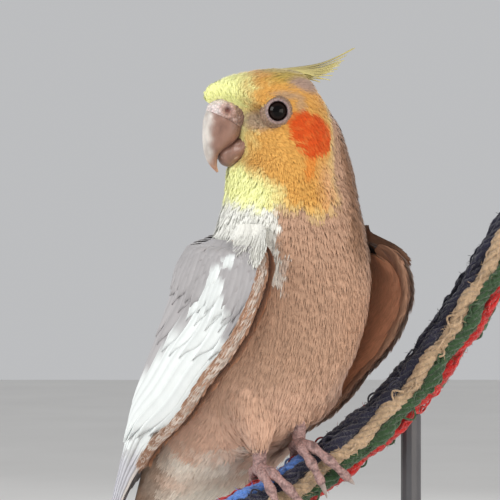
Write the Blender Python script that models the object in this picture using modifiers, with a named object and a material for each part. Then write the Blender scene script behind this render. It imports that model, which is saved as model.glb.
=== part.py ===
"""A cockatiel, life size, perched on a short length of twisted rope above a plain stand.

Lengths are in millimetres until a mesh is made, where they become metres. +Z is up, -Y is
the side from which the bird is seen, and the origin is under the middle of the stand's base.
"""
import math
import random

import bmesh
import bpy
from mathutils import Vector

# Common sizes
MM = 0.001
GAP = 0.3
HALF_GAP = GAP / 2
RING = 24

# The trunk's own frame: forward, left and up, about a point between the shoulders
BODY_YAW = math.radians(40.0)
SHOULDER_HEIGHT = 203.0
TRUNK_ORIGIN = Vector((12.0, -20.0, SHOULDER_HEIGHT))
FORWARD = Vector((math.sin(BODY_YAW), -math.cos(BODY_YAW), 0.0))
LEFT = Vector((math.cos(BODY_YAW), math.sin(BODY_YAW), 0.0))
UP = Vector((0.0, 0.0, 1.0))

# Trunk stations from the neck to the rump, and on along the tail's line:
# forward, up, pitch in degrees, half width, depth to the breast, depth to the back
TRUNK = (
    (0.0, 18.0, 90.0, 19.5, 20.0, 19.5),
    (0.0, 4.0, 86.0, 23.0, 23.0, 23.0),
    (-2.0, -8.0, 74.0, 26.0, 25.5, 24.5),
    (-8.0, -22.0, 58.0, 27.0, 26.5, 24.0),
    (-18.0, -36.0, 49.0, 26.0, 25.5, 21.5),
    (-29.0, -48.0, 45.0, 24.0, 23.5, 18.0),
    (-40.0, -59.0, 43.0, 21.0, 21.0, 14.0),
    (-51.0, -69.0, 42.0, 17.0, 16.5, 10.0),
    (-62.0, -79.0, 42.0, 12.0, 12.0, 6.4),
    (-73.0, -89.0, 42.0, 7.0, 7.0, 3.6),
)
STATION_STEP = 14.9
LAST_STATION = len(TRUNK) - 1
TRUNK_START = 0.35
TRUNK_END = 8.6
RUMP_END = 9.0
RUMP_ROUND = 0.5

# Head frame and its level rings: up, reach to the forehead, reach to the nape, half width,
# and how much the front narrows above the bill
HEAD_YAW = math.radians(18.0)
HEAD_AXIS = Vector((7.4, -22.0, SHOULDER_HEIGHT))
BEAK_WAY = Vector((-math.cos(HEAD_YAW), -math.sin(HEAD_YAW), 0.0))
HEAD_LEFT = Vector((math.sin(HEAD_YAW), -math.cos(HEAD_YAW), 0.0))
HEAD_RINGS = (
    (53.5, 2.4, -2.9, 2.0, 0.0),
    (53.0, 6.2, -5.9, 4.9, 0.0),
    (51.9, 10.6, -9.0, 8.0, 0.05),
    (50.2, 15.2, -10.6, 10.4, 0.15),
    (47.8, 19.8, -12.3, 12.2, 0.35),
    (45.2, 22.3, -13.9, 13.4, 0.6),
    (42.8, 21.4, -15.7, 14.0, 0.82),
    (40.2, 17.8, -17.0, 14.4, 0.75),
    (37.4, 14.6, -19.1, 14.6, 0.4),
    (34.1, 13.2, -20.7, 14.8, 0.2),
    (30.6, 12.8, -21.9, 15.0, 0.2),
    (27.4, 12.6, -22.8, 15.2, 0.25),
    (24.4, 15.0, -23.9, 15.8, 0.15),
    (22.2, 15.2, -24.6, 16.8, 0.0),
)

# Where that narrowing starts on the way to the front, and over what share it comes in
FACE_START = 0.3
FACE_LENGTH = 0.6

# Bill sections in the head's own plane: forward and up on the ridge, forward and up on the
# cutting edge, half width
CERE_SECTIONS = (
    (13.0, 46.0, 8.4, 37.4, 4.6),
    (18.4, 44.4, 9.8, 36.2, 5.6),
    (20.6, 42.2, 10.4, 35.4, 5.8),
    (21.1, 40.6, 10.6, 34.8, 5.5),
)
UPPER_BILL_SECTIONS = (
    (21.1, 40.6, 10.6, 34.8, 5.3),
    (21.9, 38.2, 11.2, 33.2, 5.2),
    (22.2, 35.2, 12.6, 31.6, 4.9),
    (22.2, 32.0, 14.2, 30.2, 4.3),
    (22.0, 29.4, 16.0, 29.2, 3.5),
    (21.3, 26.8, 17.6, 27.8, 2.4),
    (19.9, 24.5, 18.0, 25.0, 1.3),
    (18.0, 22.6, 17.5, 22.9, 0.5),
)
LOWER_BILL_SECTIONS = (
    (7.0, 31.4, 7.0, 28.6, 2.6),
    (10.6, 32.6, 10.2, 27.0, 4.2),
    (12.6, 32.2, 12.2, 25.1, 4.6),
    (14.4, 30.8, 14.4, 24.3, 4.2),
    (16.4, 29.8, 16.3, 25.0, 3.2),
    (17.6, 28.6, 17.3, 26.2, 1.8),
)
BILL_SKEW = 0.2
NOSTRIL = (16.2, 40.6)
NOSTRIL_SIDE = 5.2
NOSTRIL_RADIUS = 0.7

# Eyes: forward, up and sideways place of the ball's middle in the head's frame, and the lids
EYE_FORWARD = 3.4
EYE_UP = 40.0
EYE_SIDE = 11.5
EYE_TURN = math.radians(12.0)
EYE_RADIUS = 3.6
LID_REACH = 1.5
LID_DEPTH = 1.9
LID_RING = 3.2
LID_THICKNESS = 0.6

# Crest: narrow feathers that lie back over the crown and lift at their tips. Places are
# forward and up in the head's frame, for the topmost feather and for the lowest
CREST_FEATHERS = 8
CREST_ROOTS = ((3.0, 52.4), (-5.0, 51.6))
CREST_TIPS = ((-24.4, 60.6), (-15.5, 50.4))
CREST_SPREAD = 3.4
CREST_WIDTH = 3.0
CREST_THICKNESS = 0.7
CREST_PAD = (9.0, 4.8, 2.0)

# Wings: sections across the folded wing at stations of the trunk. Each has four points,
# from the leading edge low on the side to the edge that meets the back, as distance from
# the middle plane and height above the trunk's line
WING_SECTIONS = (
    (1.0, (23.5, -12.0), (26.5, -4.0), (25.0, 9.0), (13.0, 20.0)),
    (1.4, (27.0, -20.0), (31.0, -6.0), (29.0, 10.0), (11.0, 23.5)),
    (2.0, (30.0, -22.0), (33.5, -6.0), (31.0, 12.0), (7.0, 26.5)),
    (2.7, (31.0, -19.0), (34.0, -4.0), (30.0, 14.0), (4.0, 27.5)),
    (3.5, (31.0, -14.0), (34.0, 0.0), (28.0, 16.0), (2.5, 26.5)),
    (4.5, (30.0, -11.0), (33.0, 2.0), (26.0, 16.0), (2.0, 24.5)),
    (5.5, (28.0, -6.0), (30.5, 5.0), (22.0, 16.0), (2.0, 21.5)),
    (6.4, (26.0, -4.5), (27.5, 4.5), (18.0, 13.0), (2.0, 17.5)),
    (7.3, (23.5, -3.5), (23.0, 4.0), (13.5, 10.5), (2.0, 14.0)),
    (8.5, (18.5, -2.5), (17.0, 3.5), (10.0, 8.0), (2.0, 10.5)),
    (9.8, (13.5, 2.5), (11.5, 7.0), (7.5, 9.5), (2.5, 10.5)),
    (11.2, (9.5, 6.5), (8.0, 8.5), (5.5, 10.0), (3.0, 10.5)),
)
# The wing's fleshy core: depth of its outer face under the section at the shoulder and
# under the flight feathers, its thickness there, and where it ends
CORE_SHOULDER_DEPTH = 0.6
CORE_FLIGHT_DEPTH = 4.6
CORE_SHOULDER_THICKNESS = 4.5
CORE_FLIGHT_THICKNESS = 1.6
CORE_START = 1.0
CORE_END = 6.4
SHOULDER_STATION = 1.7
SHOULDER_SIDE = 24.0
SHOULDER_DROP = 2.0
SHOULDER_SIZE = (7.5, 13.0, 14.0)

# Tiers of wing feathers: station of the roots, tips (one per feather, from the leading edge
# up), place of the first lower edge across the section, step to the next, width, and the
# depth of the lower edge under the section
PRIMARIES = (3.2, (10.9, 11.2, 10.8, 10.1, 9.4, 8.7), 0.0, 0.085, 9.5, 1.6)
SECONDARIES = (3.2, (8.1, 7.8, 7.5, 7.1), 0.51, 0.115, 12.5, 1.6)
GREATER_COVERTS = (2.1, (5.2, 5.6, 5.8, 5.8, 5.6, 5.2), 0.03, 0.145, 9.6, -0.2)
MEDIAN_COVERTS = (1.5, (3.3, 3.6, 3.8, 3.8, 3.5), 0.08, 0.165, 9.4, -1.1)
SHINGLE_STEP = 0.88
VANE_THICKNESS = 0.55
TIP_VARIATION = 0.07
SEED = 11

# Tail feathers, from the middle pair out: length, sideways place at the root and at the tip
TAIL_FEATHERS = (
    (152.0, 1.6, 2.2),
    (138.0, 3.4, 5.0),
    (120.0, 4.6, 7.6),
    (103.0, 5.6, 9.8),
    (88.0, 6.4, 11.6),
    (74.0, 7.0, 13.0),
)
TAIL_START = 8.2
TAIL_WIDTH = 11.5
TAIL_LAYER = 0.9
TAIL_THICKNESS = 0.6
TAIL_HEIGHT = 0.5
TAIL_ROOT = (8.5, 4.4)

# Rope perch: points of its middle line, radius and lay
ROPE_POINTS = (
    (-40.0, -34.0, 118.5),
    (-26.0, -30.5, 119.5),
    (-12.0, -27.0, 122.0),
    (0.0, -23.5, 126.5),
    (11.5, -20.5, 132.4),
    (22.6, -18.0, 139.8),
    (33.8, -15.5, 148.2),
    (43.0, -13.5, 156.6),
    (51.5, -11.5, 166.2),
    (59.5, -9.5, 176.6),
    (67.0, -7.5, 187.6),
    (74.5, -5.5, 199.6),
    (81.5, -3.5, 211.5),
)
ROPE_RADIUS = 8.3
ROPE_LOBE = 0.13
ROPE_STRANDS = 4
ROPE_TURN = 68.0
ROPE_SIDES = 18
ROPE_RINGS = 34

# Feet: place along the rope (share of its points), and the toes
FOOT_PLACES = {"left": 4.75, "right": 3.62}
TOE_PLANS = (
    ("front_in", 1, -2.5, 100.0),
    ("front_out", 1, 5.0, 122.0),
    ("back_in", -1, -3.0, 92.0),
    ("back_out", -1, 4.0, 108.0),
)
TOE_STEPS = 6
TOE_RADIUS = 1.7
TOE_TIP_RADIUS = 1.15
CLAW_LENGTH = 5.2
CLAW_RADIUS = 0.95
TARSUS_RADIUS = 2.0

# Legs, as forward, left and up in the trunk's frame
HIP = (-20.0, 10.0, -34.0)
KNEE = (-3.0, 12.0, -43.0)
ANKLE_RISE = 6.0
THIGH_RADII = (9.0, 10.5, 9.5, 6.5)

# Stand
BASE_SIZE = (124.0, 96.0, 9.0)
BASE_EDGE = 2.0
ROD_RADIUS = 3.0
ROD_PLACES = (-6.0, 48.0)

# Colours of the parts: red, green and blue, then roughness
COLOURS = {
    "face": ((0.86, 0.80, 0.32), 0.8),
    "plumage": ((0.45, 0.33, 0.27), 0.85),
    "wing": ((0.40, 0.37, 0.40), 0.75),
    "bill": ((0.42, 0.30, 0.28), 0.45),
    "cere": ((0.62, 0.50, 0.52), 0.5),
    "eye": ((0.02, 0.012, 0.01), 0.08),
    "skin": ((0.50, 0.32, 0.32), 0.6),
    "claw": ((0.62, 0.52, 0.46), 0.4),
    "rope": ((0.25, 0.22, 0.24), 0.9),
    "stand": ((0.10, 0.09, 0.08), 0.5),
}


def clear_scene():
    for item in list(bpy.data.objects):
        bpy.data.objects.remove(item, do_unlink=True)


def make_collection(name):
    group = bpy.data.collections.new(name)
    bpy.context.scene.collection.children.link(group)
    return group


def material(name):
    found = bpy.data.materials.get(name)
    if found:
        return found
    (red, green, blue), roughness = COLOURS[name]
    made = bpy.data.materials.new(name)
    made.use_nodes = True
    shader = made.node_tree.nodes["Principled BSDF"]
    shader.inputs["Base Color"].default_value = (red, green, blue, 1.0)
    shader.inputs["Roughness"].default_value = roughness
    shader.inputs["Metallic"].default_value = 0.0
    return made


def catmull(values, place):
    """A smooth value between the rows of a table, at a place counted in rows."""
    last = len(values) - 1
    place = min(max(place, 0.0), float(last))
    low = min(int(place), last - 1)
    t = place - low
    rows = [values[min(max(low + k, 0), last)] for k in (-1, 0, 1, 2)]
    result = []
    for a, b, c, d in zip(*rows):
        value = b + 0.5 * t * (c - a + t * (2 * a - 5 * b + 4 * c - d + t * (3 * (b - c) + d - a)))
        result.append(value)
    return result


def body_point(forward, left, up):
    return TRUNK_ORIGIN + FORWARD * forward + LEFT * left + UP * up


def head_point(forward, left, up):
    return HEAD_AXIS + BEAK_WAY * forward + HEAD_LEFT * left + UP * up


def trunk_frame(station):
    """Middle, direction to the tail and direction out of the back, at a trunk station."""
    row = catmull(TRUNK, station)
    pitch = math.radians(row[2])
    tailward = -FORWARD * math.cos(pitch) - UP * math.sin(pitch)
    back = -FORWARD * math.sin(pitch) + UP * math.cos(pitch)
    middle = body_point(row[0], 0.0, row[1])
    if station > LAST_STATION:
        middle = middle + tailward * (station - LAST_STATION) * STATION_STEP
    return middle, tailward, back


def trunk_ring(station, slide=0.0, grow=0.0):
    """A closed ring of the trunk, moved along the trunk by slide."""
    row = catmull(TRUNK, station)
    middle, tailward, back = trunk_frame(station)
    points = []
    for k in range(RING):
        angle = 2 * math.pi * k / RING
        height = math.sin(angle)
        depth = row[5] if height > 0 else row[4]
        across = LEFT * (row[3] + grow) * math.cos(angle)
        points.append(middle + tailward * slide + across + back * (depth + grow) * height)
    return points


def head_ring(up, front, nape, half_width, narrowing, slide=0.0):
    """A level ring of the head, matched point by point with the trunk's rings."""
    points = []
    middle = (front + nape) / 2
    half_length = (front - nape) / 2
    for k in range(RING):
        angle = 2 * math.pi * k / RING + BODY_YAW + math.pi / 2 - HEAD_YAW
        ahead = -math.sin(angle)
        side = math.cos(angle)
        if ahead > 0:
            side *= 1 - narrowing * smooth_step((ahead - FACE_START) / FACE_LENGTH)
        points.append(head_point(middle + half_length * ahead, half_width * side, up + slide))
    return points


def mesh_object(name, verts, faces, colour, group):
    mesh = bpy.data.meshes.new(name)
    mesh.from_pydata([tuple(p * MM) for p in verts], [], faces)
    bm = bmesh.new()
    bm.from_mesh(mesh)
    bmesh.ops.recalc_face_normals(bm, faces=bm.faces)
    bm.to_mesh(mesh)
    bm.free()
    mesh.materials.append(material(colour))
    made = bpy.data.objects.new(name, mesh)
    group.objects.link(made)
    return made


def loft(name, rings, colour, group):
    """A closed skin over rings of equal count, with a fan of triangles on each end."""
    count = len(rings[0])
    verts = [p for ring in rings for p in ring]
    faces = []
    for row in range(len(rings) - 1):
        for k in range(count):
            a = row * count + k
            b = row * count + (k + 1) % count
            faces.append((a, b, b + count))
            faces.append((a, b + count, a + count))
    for row in (0, len(rings) - 1):
        hub = len(verts)
        verts.append(sum(rings[row], Vector()) / count)
        for k in range(count):
            faces.append((row * count + k, row * count + (k + 1) % count, hub))
    return mesh_object(name, verts, faces, colour, group)


def ellipsoid(name, middle, axes, radii, colour, group, rings=10, segments=16):
    """A sphere primitive stretched along three directions."""
    bm = bmesh.new()
    bmesh.ops.create_uvsphere(bm, u_segments=segments, v_segments=rings, radius=1.0)
    for vert in bm.verts:
        local = vert.co.copy()
        vert.co = middle + sum((a * r * c for a, r, c in zip(axes, radii, local)), Vector())
    bmesh.ops.scale(bm, vec=(MM, MM, MM), verts=bm.verts)
    bmesh.ops.recalc_face_normals(bm, faces=bm.faces)
    mesh = bpy.data.meshes.new(name)
    bm.to_mesh(mesh)
    bm.free()
    mesh.materials.append(material(colour))
    made = bpy.data.objects.new(name, mesh)
    group.objects.link(made)
    return made


def tube(name, points, radii, colour, group, resolution=2):
    """A round bar along points, as a curve made into a closed mesh."""
    curve = bpy.data.curves.new(name, "CURVE")
    curve.dimensions = "3D"
    curve.bevel_depth = 1.0
    curve.bevel_resolution = resolution
    curve.use_fill_caps = True
    spline = curve.splines.new("POLY")
    spline.points.add(len(points) - 1)
    for slot, point, radius in zip(spline.points, points, radii):
        slot.co = (*point, 1.0)
        slot.radius = radius
    source = bpy.data.objects.new(name + "_curve", curve)
    source.scale = (MM, MM, MM)
    group.objects.link(source)
    bpy.context.view_layer.update()
    evaluated = source.evaluated_get(bpy.context.evaluated_depsgraph_get())
    mesh = bpy.data.meshes.new_from_object(evaluated)
    mesh.transform(source.matrix_world)
    bm = bmesh.new()
    bm.from_mesh(mesh)
    bmesh.ops.remove_doubles(bm, verts=bm.verts, dist=0.00001)
    bmesh.ops.recalc_face_normals(bm, faces=bm.faces)
    bm.to_mesh(mesh)
    bm.free()
    mesh.name = name
    mesh.materials.clear()
    mesh.materials.append(material(colour))
    bpy.data.objects.remove(source, do_unlink=True)
    made = bpy.data.objects.new(name, mesh)
    group.objects.link(made)
    return made


def inflated(source, amount, group):
    """A guide copy of a part, grown outward, to cut its neighbours with a gap."""
    mesh = source.data.copy()
    bm = bmesh.new()
    bm.from_mesh(mesh)
    bm.normal_update()
    moves = [(vert, vert.normal * amount * MM) for vert in bm.verts]
    for vert, move in moves:
        vert.co += move
    bm.to_mesh(mesh)
    bm.free()
    made = bpy.data.objects.new(source.name + "_cutter", mesh)
    made.hide_render = True
    made.display_type = "WIRE"
    group.objects.link(made)
    return made


def apply_boolean(target, operation, cutters):
    """Cut or join a target with a collection of closed meshes, then keep its largest body."""
    helper = bpy.data.collections.new(target.name + "_" + operation.lower())
    bpy.context.scene.collection.children.link(helper)
    for cutter in cutters:
        for owner in list(cutter.users_collection):
            owner.objects.unlink(cutter)
        helper.objects.link(cutter)
    modifier = target.modifiers.new(operation.lower(), "BOOLEAN")
    modifier.operation = operation
    modifier.operand_type = "COLLECTION"
    modifier.collection = helper
    modifier.solver = "MANIFOLD"
    bpy.context.view_layer.update()
    evaluated = target.evaluated_get(bpy.context.evaluated_depsgraph_get())
    mesh = bpy.data.meshes.new_from_object(evaluated)
    target.modifiers.clear()
    target.data = mesh
    mesh.name = target.name
    for cutter in list(helper.objects):
        bpy.data.objects.remove(cutter, do_unlink=True)
    bpy.data.collections.remove(helper)
    keep_largest(target)


def keep_largest(target):
    """Weld and keep only the largest closed surface of a mesh."""
    bm = bmesh.new()
    bm.from_mesh(target.data)
    bmesh.ops.remove_doubles(bm, verts=bm.verts, dist=0.000002)
    bmesh.ops.dissolve_degenerate(bm, edges=bm.edges, dist=0.000002)
    bmesh.ops.triangulate(bm, faces=bm.faces)
    seen = set()
    bodies = []
    for face in bm.faces:
        if face in seen:
            continue
        body = []
        stack = [face]
        seen.add(face)
        while stack:
            current = stack.pop()
            body.append(current)
            for edge in current.edges:
                for other in edge.link_faces:
                    if other not in seen:
                        seen.add(other)
                        stack.append(other)
        bodies.append(body)
    largest = max(bodies, key=lambda body: sum(face.calc_area() for face in body))
    scraps = [face for body in bodies if body is not largest for face in body]
    bmesh.ops.delete(bm, geom=scraps, context="FACES")
    loose = [vert for vert in bm.verts if not vert.link_faces]
    bmesh.ops.delete(bm, geom=loose, context="VERTS")
    bm.to_mesh(target.data)
    bm.free()


def cut_clear(target, neighbours, guides):
    cutters = [inflated(neighbour, GAP, guides) for neighbour in neighbours]
    apply_boolean(target, "DIFFERENCE", cutters)


def make_torso(parts):
    span = TRUNK_END - TRUNK_START
    steps = 16
    rings = [trunk_ring(TRUNK_START, HALF_GAP)]
    rings += [trunk_ring(TRUNK_START + span * k / steps) for k in range(1, steps + 1)]
    rump_middle = trunk_frame(RUMP_END)[0]
    rings.append([rump_middle.lerp(point, RUMP_ROUND) for point in trunk_ring(RUMP_END)])
    return loft("torso", rings, "plumage", parts)


def blend_ring(low, high, share):
    return [a.lerp(b, share) for a, b in zip(low, high)]


def make_neck(parts):
    head_low = HEAD_RINGS[-1]
    below = trunk_ring(TRUNK_START, -HALF_GAP)
    above = head_ring(*head_low, slide=-HALF_GAP)
    steps = 4
    rings = []
    for k in range(steps + 1):
        share = k / steps
        ease = share * share * (3 - 2 * share)
        ring = blend_ring(below, above, ease)
        level = blend_ring(below, above, share)
        rings.append([Vector((p.x, p.y, q.z)) for p, q in zip(ring, level)])
    return loft("neck", rings, "plumage", parts)


def make_head(parts):
    rings = [head_ring(*row) for row in HEAD_RINGS[:-1]]
    rings.append(head_ring(*HEAD_RINGS[-1], slide=HALF_GAP))
    return loft("head", rings, "face", parts)


def bill_ring(forward_a, up_a, forward_b, up_b, half_width, skew, slide=Vector()):
    """A ring between two points of the side view; skew makes it wider towards the second."""
    sides = 12
    ridge = head_point(forward_a, 0.0, up_a)
    edge = head_point(forward_b, 0.0, up_b)
    middle = (ridge + edge) / 2
    half = (ridge - edge) / 2
    points = []
    for k in range(sides):
        angle = 2 * math.pi * k / sides
        wide = half_width * math.sin(angle) * (1 - skew * math.cos(angle))
        points.append(middle + half * math.cos(angle) + HEAD_LEFT * wide + slide)
    return points


def bill_part(name, sections, colour, parts, skew, slides=(0.0, 0.0)):
    ridge = [head_point(row[0], 0.0, row[1]) for row in sections]
    way_in = ridge[1] - ridge[0]
    way_out = ridge[-1] - ridge[-2]
    rings = [bill_ring(*row, skew) for row in sections]
    rings[0] = bill_ring(*sections[0], skew, way_in.normalized() * slides[0])
    rings[-1] = bill_ring(*sections[-1], skew, -way_out.normalized() * slides[1])
    return loft(name, rings, colour, parts)


def make_bill(parts, guides, head):
    cere = bill_part("cere", CERE_SECTIONS, "cere", parts, BILL_SKEW, (0.0, HALF_GAP))
    upper = bill_part("bill_upper", UPPER_BILL_SECTIONS, "bill", parts, BILL_SKEW, (HALF_GAP, 0.0))
    lower = bill_part("bill_lower", LOWER_BILL_SECTIONS, "bill", parts, -BILL_SKEW)
    cut_clear(cere, [head], guides)
    cut_clear(upper, [head, cere], guides)
    cut_clear(lower, [head, upper, cere], guides)
    nostrils = []
    for side in (1, -1):
        middle = head_point(NOSTRIL[0], side * NOSTRIL_SIDE, NOSTRIL[1])
        pit = ellipsoid(
            "nostril", middle, (BEAK_WAY, HEAD_LEFT, UP), (NOSTRIL_RADIUS, 1.4, NOSTRIL_RADIUS),
            "cere", guides, rings=6, segments=8)
        nostrils.append(pit)
    apply_boolean(cere, "DIFFERENCE", nostrils)


def make_eyes(parts, guides, head):
    eyes = []
    lids = []
    for name, side in (("left", 1), ("right", -1)):
        middle = head_point(EYE_FORWARD, side * EYE_SIDE, EYE_UP)
        eye = ellipsoid(
            "eye_" + name, middle, (BEAK_WAY, UP, HEAD_LEFT), (EYE_RADIUS,) * 3,
            "eye", parts, rings=8, segments=12)
        eyes.append(eye)
        lids.append(lid_ring("lid_" + name, middle, side, guides))
    apply_boolean(head, "UNION", lids)
    cut_clear(head, eyes, guides)


def lid_ring(name, eye_middle, side, group):
    """A soft rim round the eye, turned a little towards the bill."""
    around = 16
    sides = 5
    outward = HEAD_LEFT * side * math.cos(EYE_TURN) + BEAK_WAY * math.sin(EYE_TURN)
    ahead = BEAK_WAY * math.cos(EYE_TURN) - HEAD_LEFT * side * math.sin(EYE_TURN)
    middle = eye_middle + outward * LID_REACH
    rings = []
    for k in range(around):
        angle = 2 * math.pi * k / around
        out = ahead * math.cos(angle) + UP * math.sin(angle)
        ring = []
        for j in range(sides):
            turn = 2 * math.pi * j / sides
            spread = LID_RING + LID_THICKNESS * math.cos(turn)
            ring.append(middle + out * spread + outward * LID_DEPTH * math.sin(turn))
        rings.append(ring)
    verts = [p for ring in rings for p in ring]
    faces = []
    for k in range(around):
        for j in range(sides):
            a = k * sides + j
            b = k * sides + (j + 1) % sides
            c = ((k + 1) % around) * sides + (j + 1) % sides
            d = ((k + 1) % around) * sides + j
            if side > 0:
                faces.append((a, b, c))
                faces.append((a, c, d))
            else:
                faces.append((a, c, b))
                faces.append((a, d, c))
    return mesh_object(name, verts, faces, "face", group)


def vane_faces(rows):
    """Triangles over rings of six points, split alike on the upper and the lower face."""
    faces = []
    for row in range(rows - 1):
        base = row * 6
        for k in range(6):
            a = base + k
            b = base + (k + 1) % 6
            if k in (3, 4):
                faces.append((a, b, a + 6))
                faces.append((b, b + 6, a + 6))
            else:
                faces.append((a, b, b + 6))
                faces.append((a, b + 6, a + 6))
    for base in (0, (rows - 1) * 6):
        faces.append((base, base + 1, base + 4))
        faces.append((base, base + 4, base + 5))
        faces.append((base + 1, base + 2, base + 3))
        faces.append((base + 1, base + 3, base + 4))
    return faces


def vane_outline(share):
    """Width of a vane at a share of its length: slim at the root, blunt-pointed at the tip."""
    root = min(1.0, 0.5 + 3.0 * share)
    tip = 1.0 - max(0.0, (share - 0.62) / 0.38) ** 2.2
    return max(root * tip, 0.07)


def vane(name, rows, colour, group):
    """A thin feather from rows of (left, middle, right, direction of its lower face)."""
    verts = []
    for left, middle, right, drop in rows:
        verts += [left, middle, right, right + drop, middle + drop, left + drop]
    return mesh_object(name, verts, vane_faces(len(rows)), colour, group)


def make_crest(parts, guides, head):
    """The crest, feather by feather, on a thin pad of crown feathers."""
    vanes = []
    steps = 5
    for number in range(CREST_FEATHERS):
        share = number / (CREST_FEATHERS - 1)
        way = 1 if number % 2 else -1
        root = Vector(CREST_ROOTS[0]).lerp(Vector(CREST_ROOTS[1]), share)
        tip = Vector(CREST_TIPS[0]).lerp(Vector(CREST_TIPS[1]), share ** 0.9)
        rows = []
        for k in range(steps + 1):
            t = k / steps
            forward = root.x + (tip.x - root.x) * t
            lift = 1.6 * math.sin(math.pi * min(t * 1.4, 1.0))
            up = root.y + (tip.y - root.y) * t ** 2.2 + lift * (1 - t)
            side = way * (0.5 + CREST_SPREAD * share * (0.4 + 0.6 * t)) + 0.3
            wide = CREST_WIDTH * vane_outline(t) / 2
            lean = UP * 0.35 * wide
            middle = head_point(forward, side, up)
            rows.append((
                middle + HEAD_LEFT * wide - lean,
                middle,
                middle - HEAD_LEFT * wide - lean,
                -UP * CREST_THICKNESS * (1 - 0.5 * t)))
        vanes.append(vane("crest_feather", rows, "face", guides))
    pad_at = head_point(-1.5, 0.0, 52.2)
    crest = ellipsoid("crest", pad_at, (BEAK_WAY, HEAD_LEFT, UP), CREST_PAD, "face", parts, 6, 10)
    apply_boolean(crest, "UNION", vanes)
    cut_clear(crest, [head], guides)


def wing_section(station):
    """The four corner points of the wing's section at a station."""
    stations = [row[0] for row in WING_SECTIONS]
    place = 0.0
    for k in range(len(stations) - 1):
        if station >= stations[k]:
            place = k + min((station - stations[k]) / (stations[k + 1] - stations[k]), 1.0)
    return [catmull([row[1 + j] for row in WING_SECTIONS], place) for j in range(4)]


def wing_point(station, across, lift, side):
    """A point of the folded wing's surface, raised by lift."""
    corners = wing_section(station)
    place = across * 3
    lateral, height = catmull(corners, place)
    before = catmull(corners, max(place - 0.05, 0.0))
    after = catmull(corners, min(place + 0.05, 3.0))
    run = Vector((after[0] - before[0], after[1] - before[1]))
    run.normalize()
    lateral += run.y * lift
    height -= run.x * lift
    middle, _, back = trunk_frame(station)
    return middle + LEFT * side * lateral + back * height


def wing_breadth(station):
    """Length of the wing's section from its lower to its upper edge."""
    corners = wing_section(station)
    points = [Vector(catmull(corners, 3 * k / 12)) for k in range(13)]
    return sum((b - a).length for a, b in zip(points, points[1:]))


def smooth_step(value):
    value = min(max(value, 0.0), 1.0)
    return value * value * (3 - 2 * value)


def wing_vane(name, side, start, end, edge, width, depth, step, guides):
    """One wing feather, laid like a shingle: its upper edge lies under the next feather."""
    steps = 5 if end > 6.0 else 4
    rows = []
    for k in range(steps + 1):
        share = k / steps
        station = start + (end - start) * share
        breadth = wing_breadth(station)
        full = width / breadth
        wide = full * vane_outline(share)
        middle = edge + full / 2
        rise = smooth_step(share / 0.22)
        tops = []
        for across in (middle - wide / 2, middle, middle + wide / 2):
            across = min(max(across, 0.0), 1.0)
            slope = (across - edge) / step * SHINGLE_STEP
            lift = -(depth + slope) * rise - (core_depth(station) + 1.0) * (1 - rise)
            top = wing_point(station, across, lift, side)
            under = wing_point(station, across, lift - VANE_THICKNESS, side)
            tops.append((top, under))
        rows.append(tops)
    verts = []
    for left, middle, right in rows:
        verts += [left[0], middle[0], right[0], right[1], middle[1], left[1]]
    return mesh_object(name, verts, vane_faces(len(rows)), "wing", guides)


def wing_tier(tier, side, guides):
    start, tips, edge, step, width, depth = tier
    vary = random.Random(SEED)
    vanes = []
    for number, tip in enumerate(tips):
        end = tip + vary.uniform(-TIP_VARIATION, TIP_VARIATION)
        low = edge + step * number
        vanes.append(wing_vane("wing_feather", side, start, end, low, width, depth, step, guides))
    return vanes


def core_depth(station):
    share = smooth_step((station - 1.8) / 1.9)
    return CORE_SHOULDER_DEPTH + (CORE_FLIGHT_DEPTH - CORE_SHOULDER_DEPTH) * share


def core_thickness(station):
    share = smooth_step((station - 1.8) / 1.9)
    return CORE_SHOULDER_THICKNESS + (CORE_FLIGHT_THICKNESS - CORE_SHOULDER_THICKNESS) * share


def make_wing(name, side, parts, guides, torso, neck):
    """The folded wing: a core with tiers of overlapping feathers rooted in it."""
    steps = 9
    across_steps = 5
    rings = []
    for k in range(steps + 1):
        station = CORE_START + (CORE_END - CORE_START) * k / steps
        depth = core_depth(station)
        thick = core_thickness(station)
        places = [0.02 + 0.95 * j / across_steps for j in range(across_steps + 1)]
        outer = [wing_point(station, a, -depth, side) for a in places]
        inner = [wing_point(station, a, -depth - thick, side) for a in reversed(places)]
        rings.append(outer + inner)
    wing = loft(name, rings, "wing", parts)
    middle, tailward, back = trunk_frame(SHOULDER_STATION)
    boss = ellipsoid(
        "shoulder", middle + LEFT * side * SHOULDER_SIDE - back * SHOULDER_DROP,
        (LEFT, tailward, back), SHOULDER_SIZE, "wing", guides, 6, 12)
    vanes = [boss]
    for tier in (PRIMARIES, SECONDARIES, GREATER_COVERTS, MEDIAN_COVERTS):
        vanes += wing_tier(tier, side, guides)
    apply_boolean(wing, "UNION", vanes)
    cut_clear(wing, [torso, neck], guides)


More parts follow.
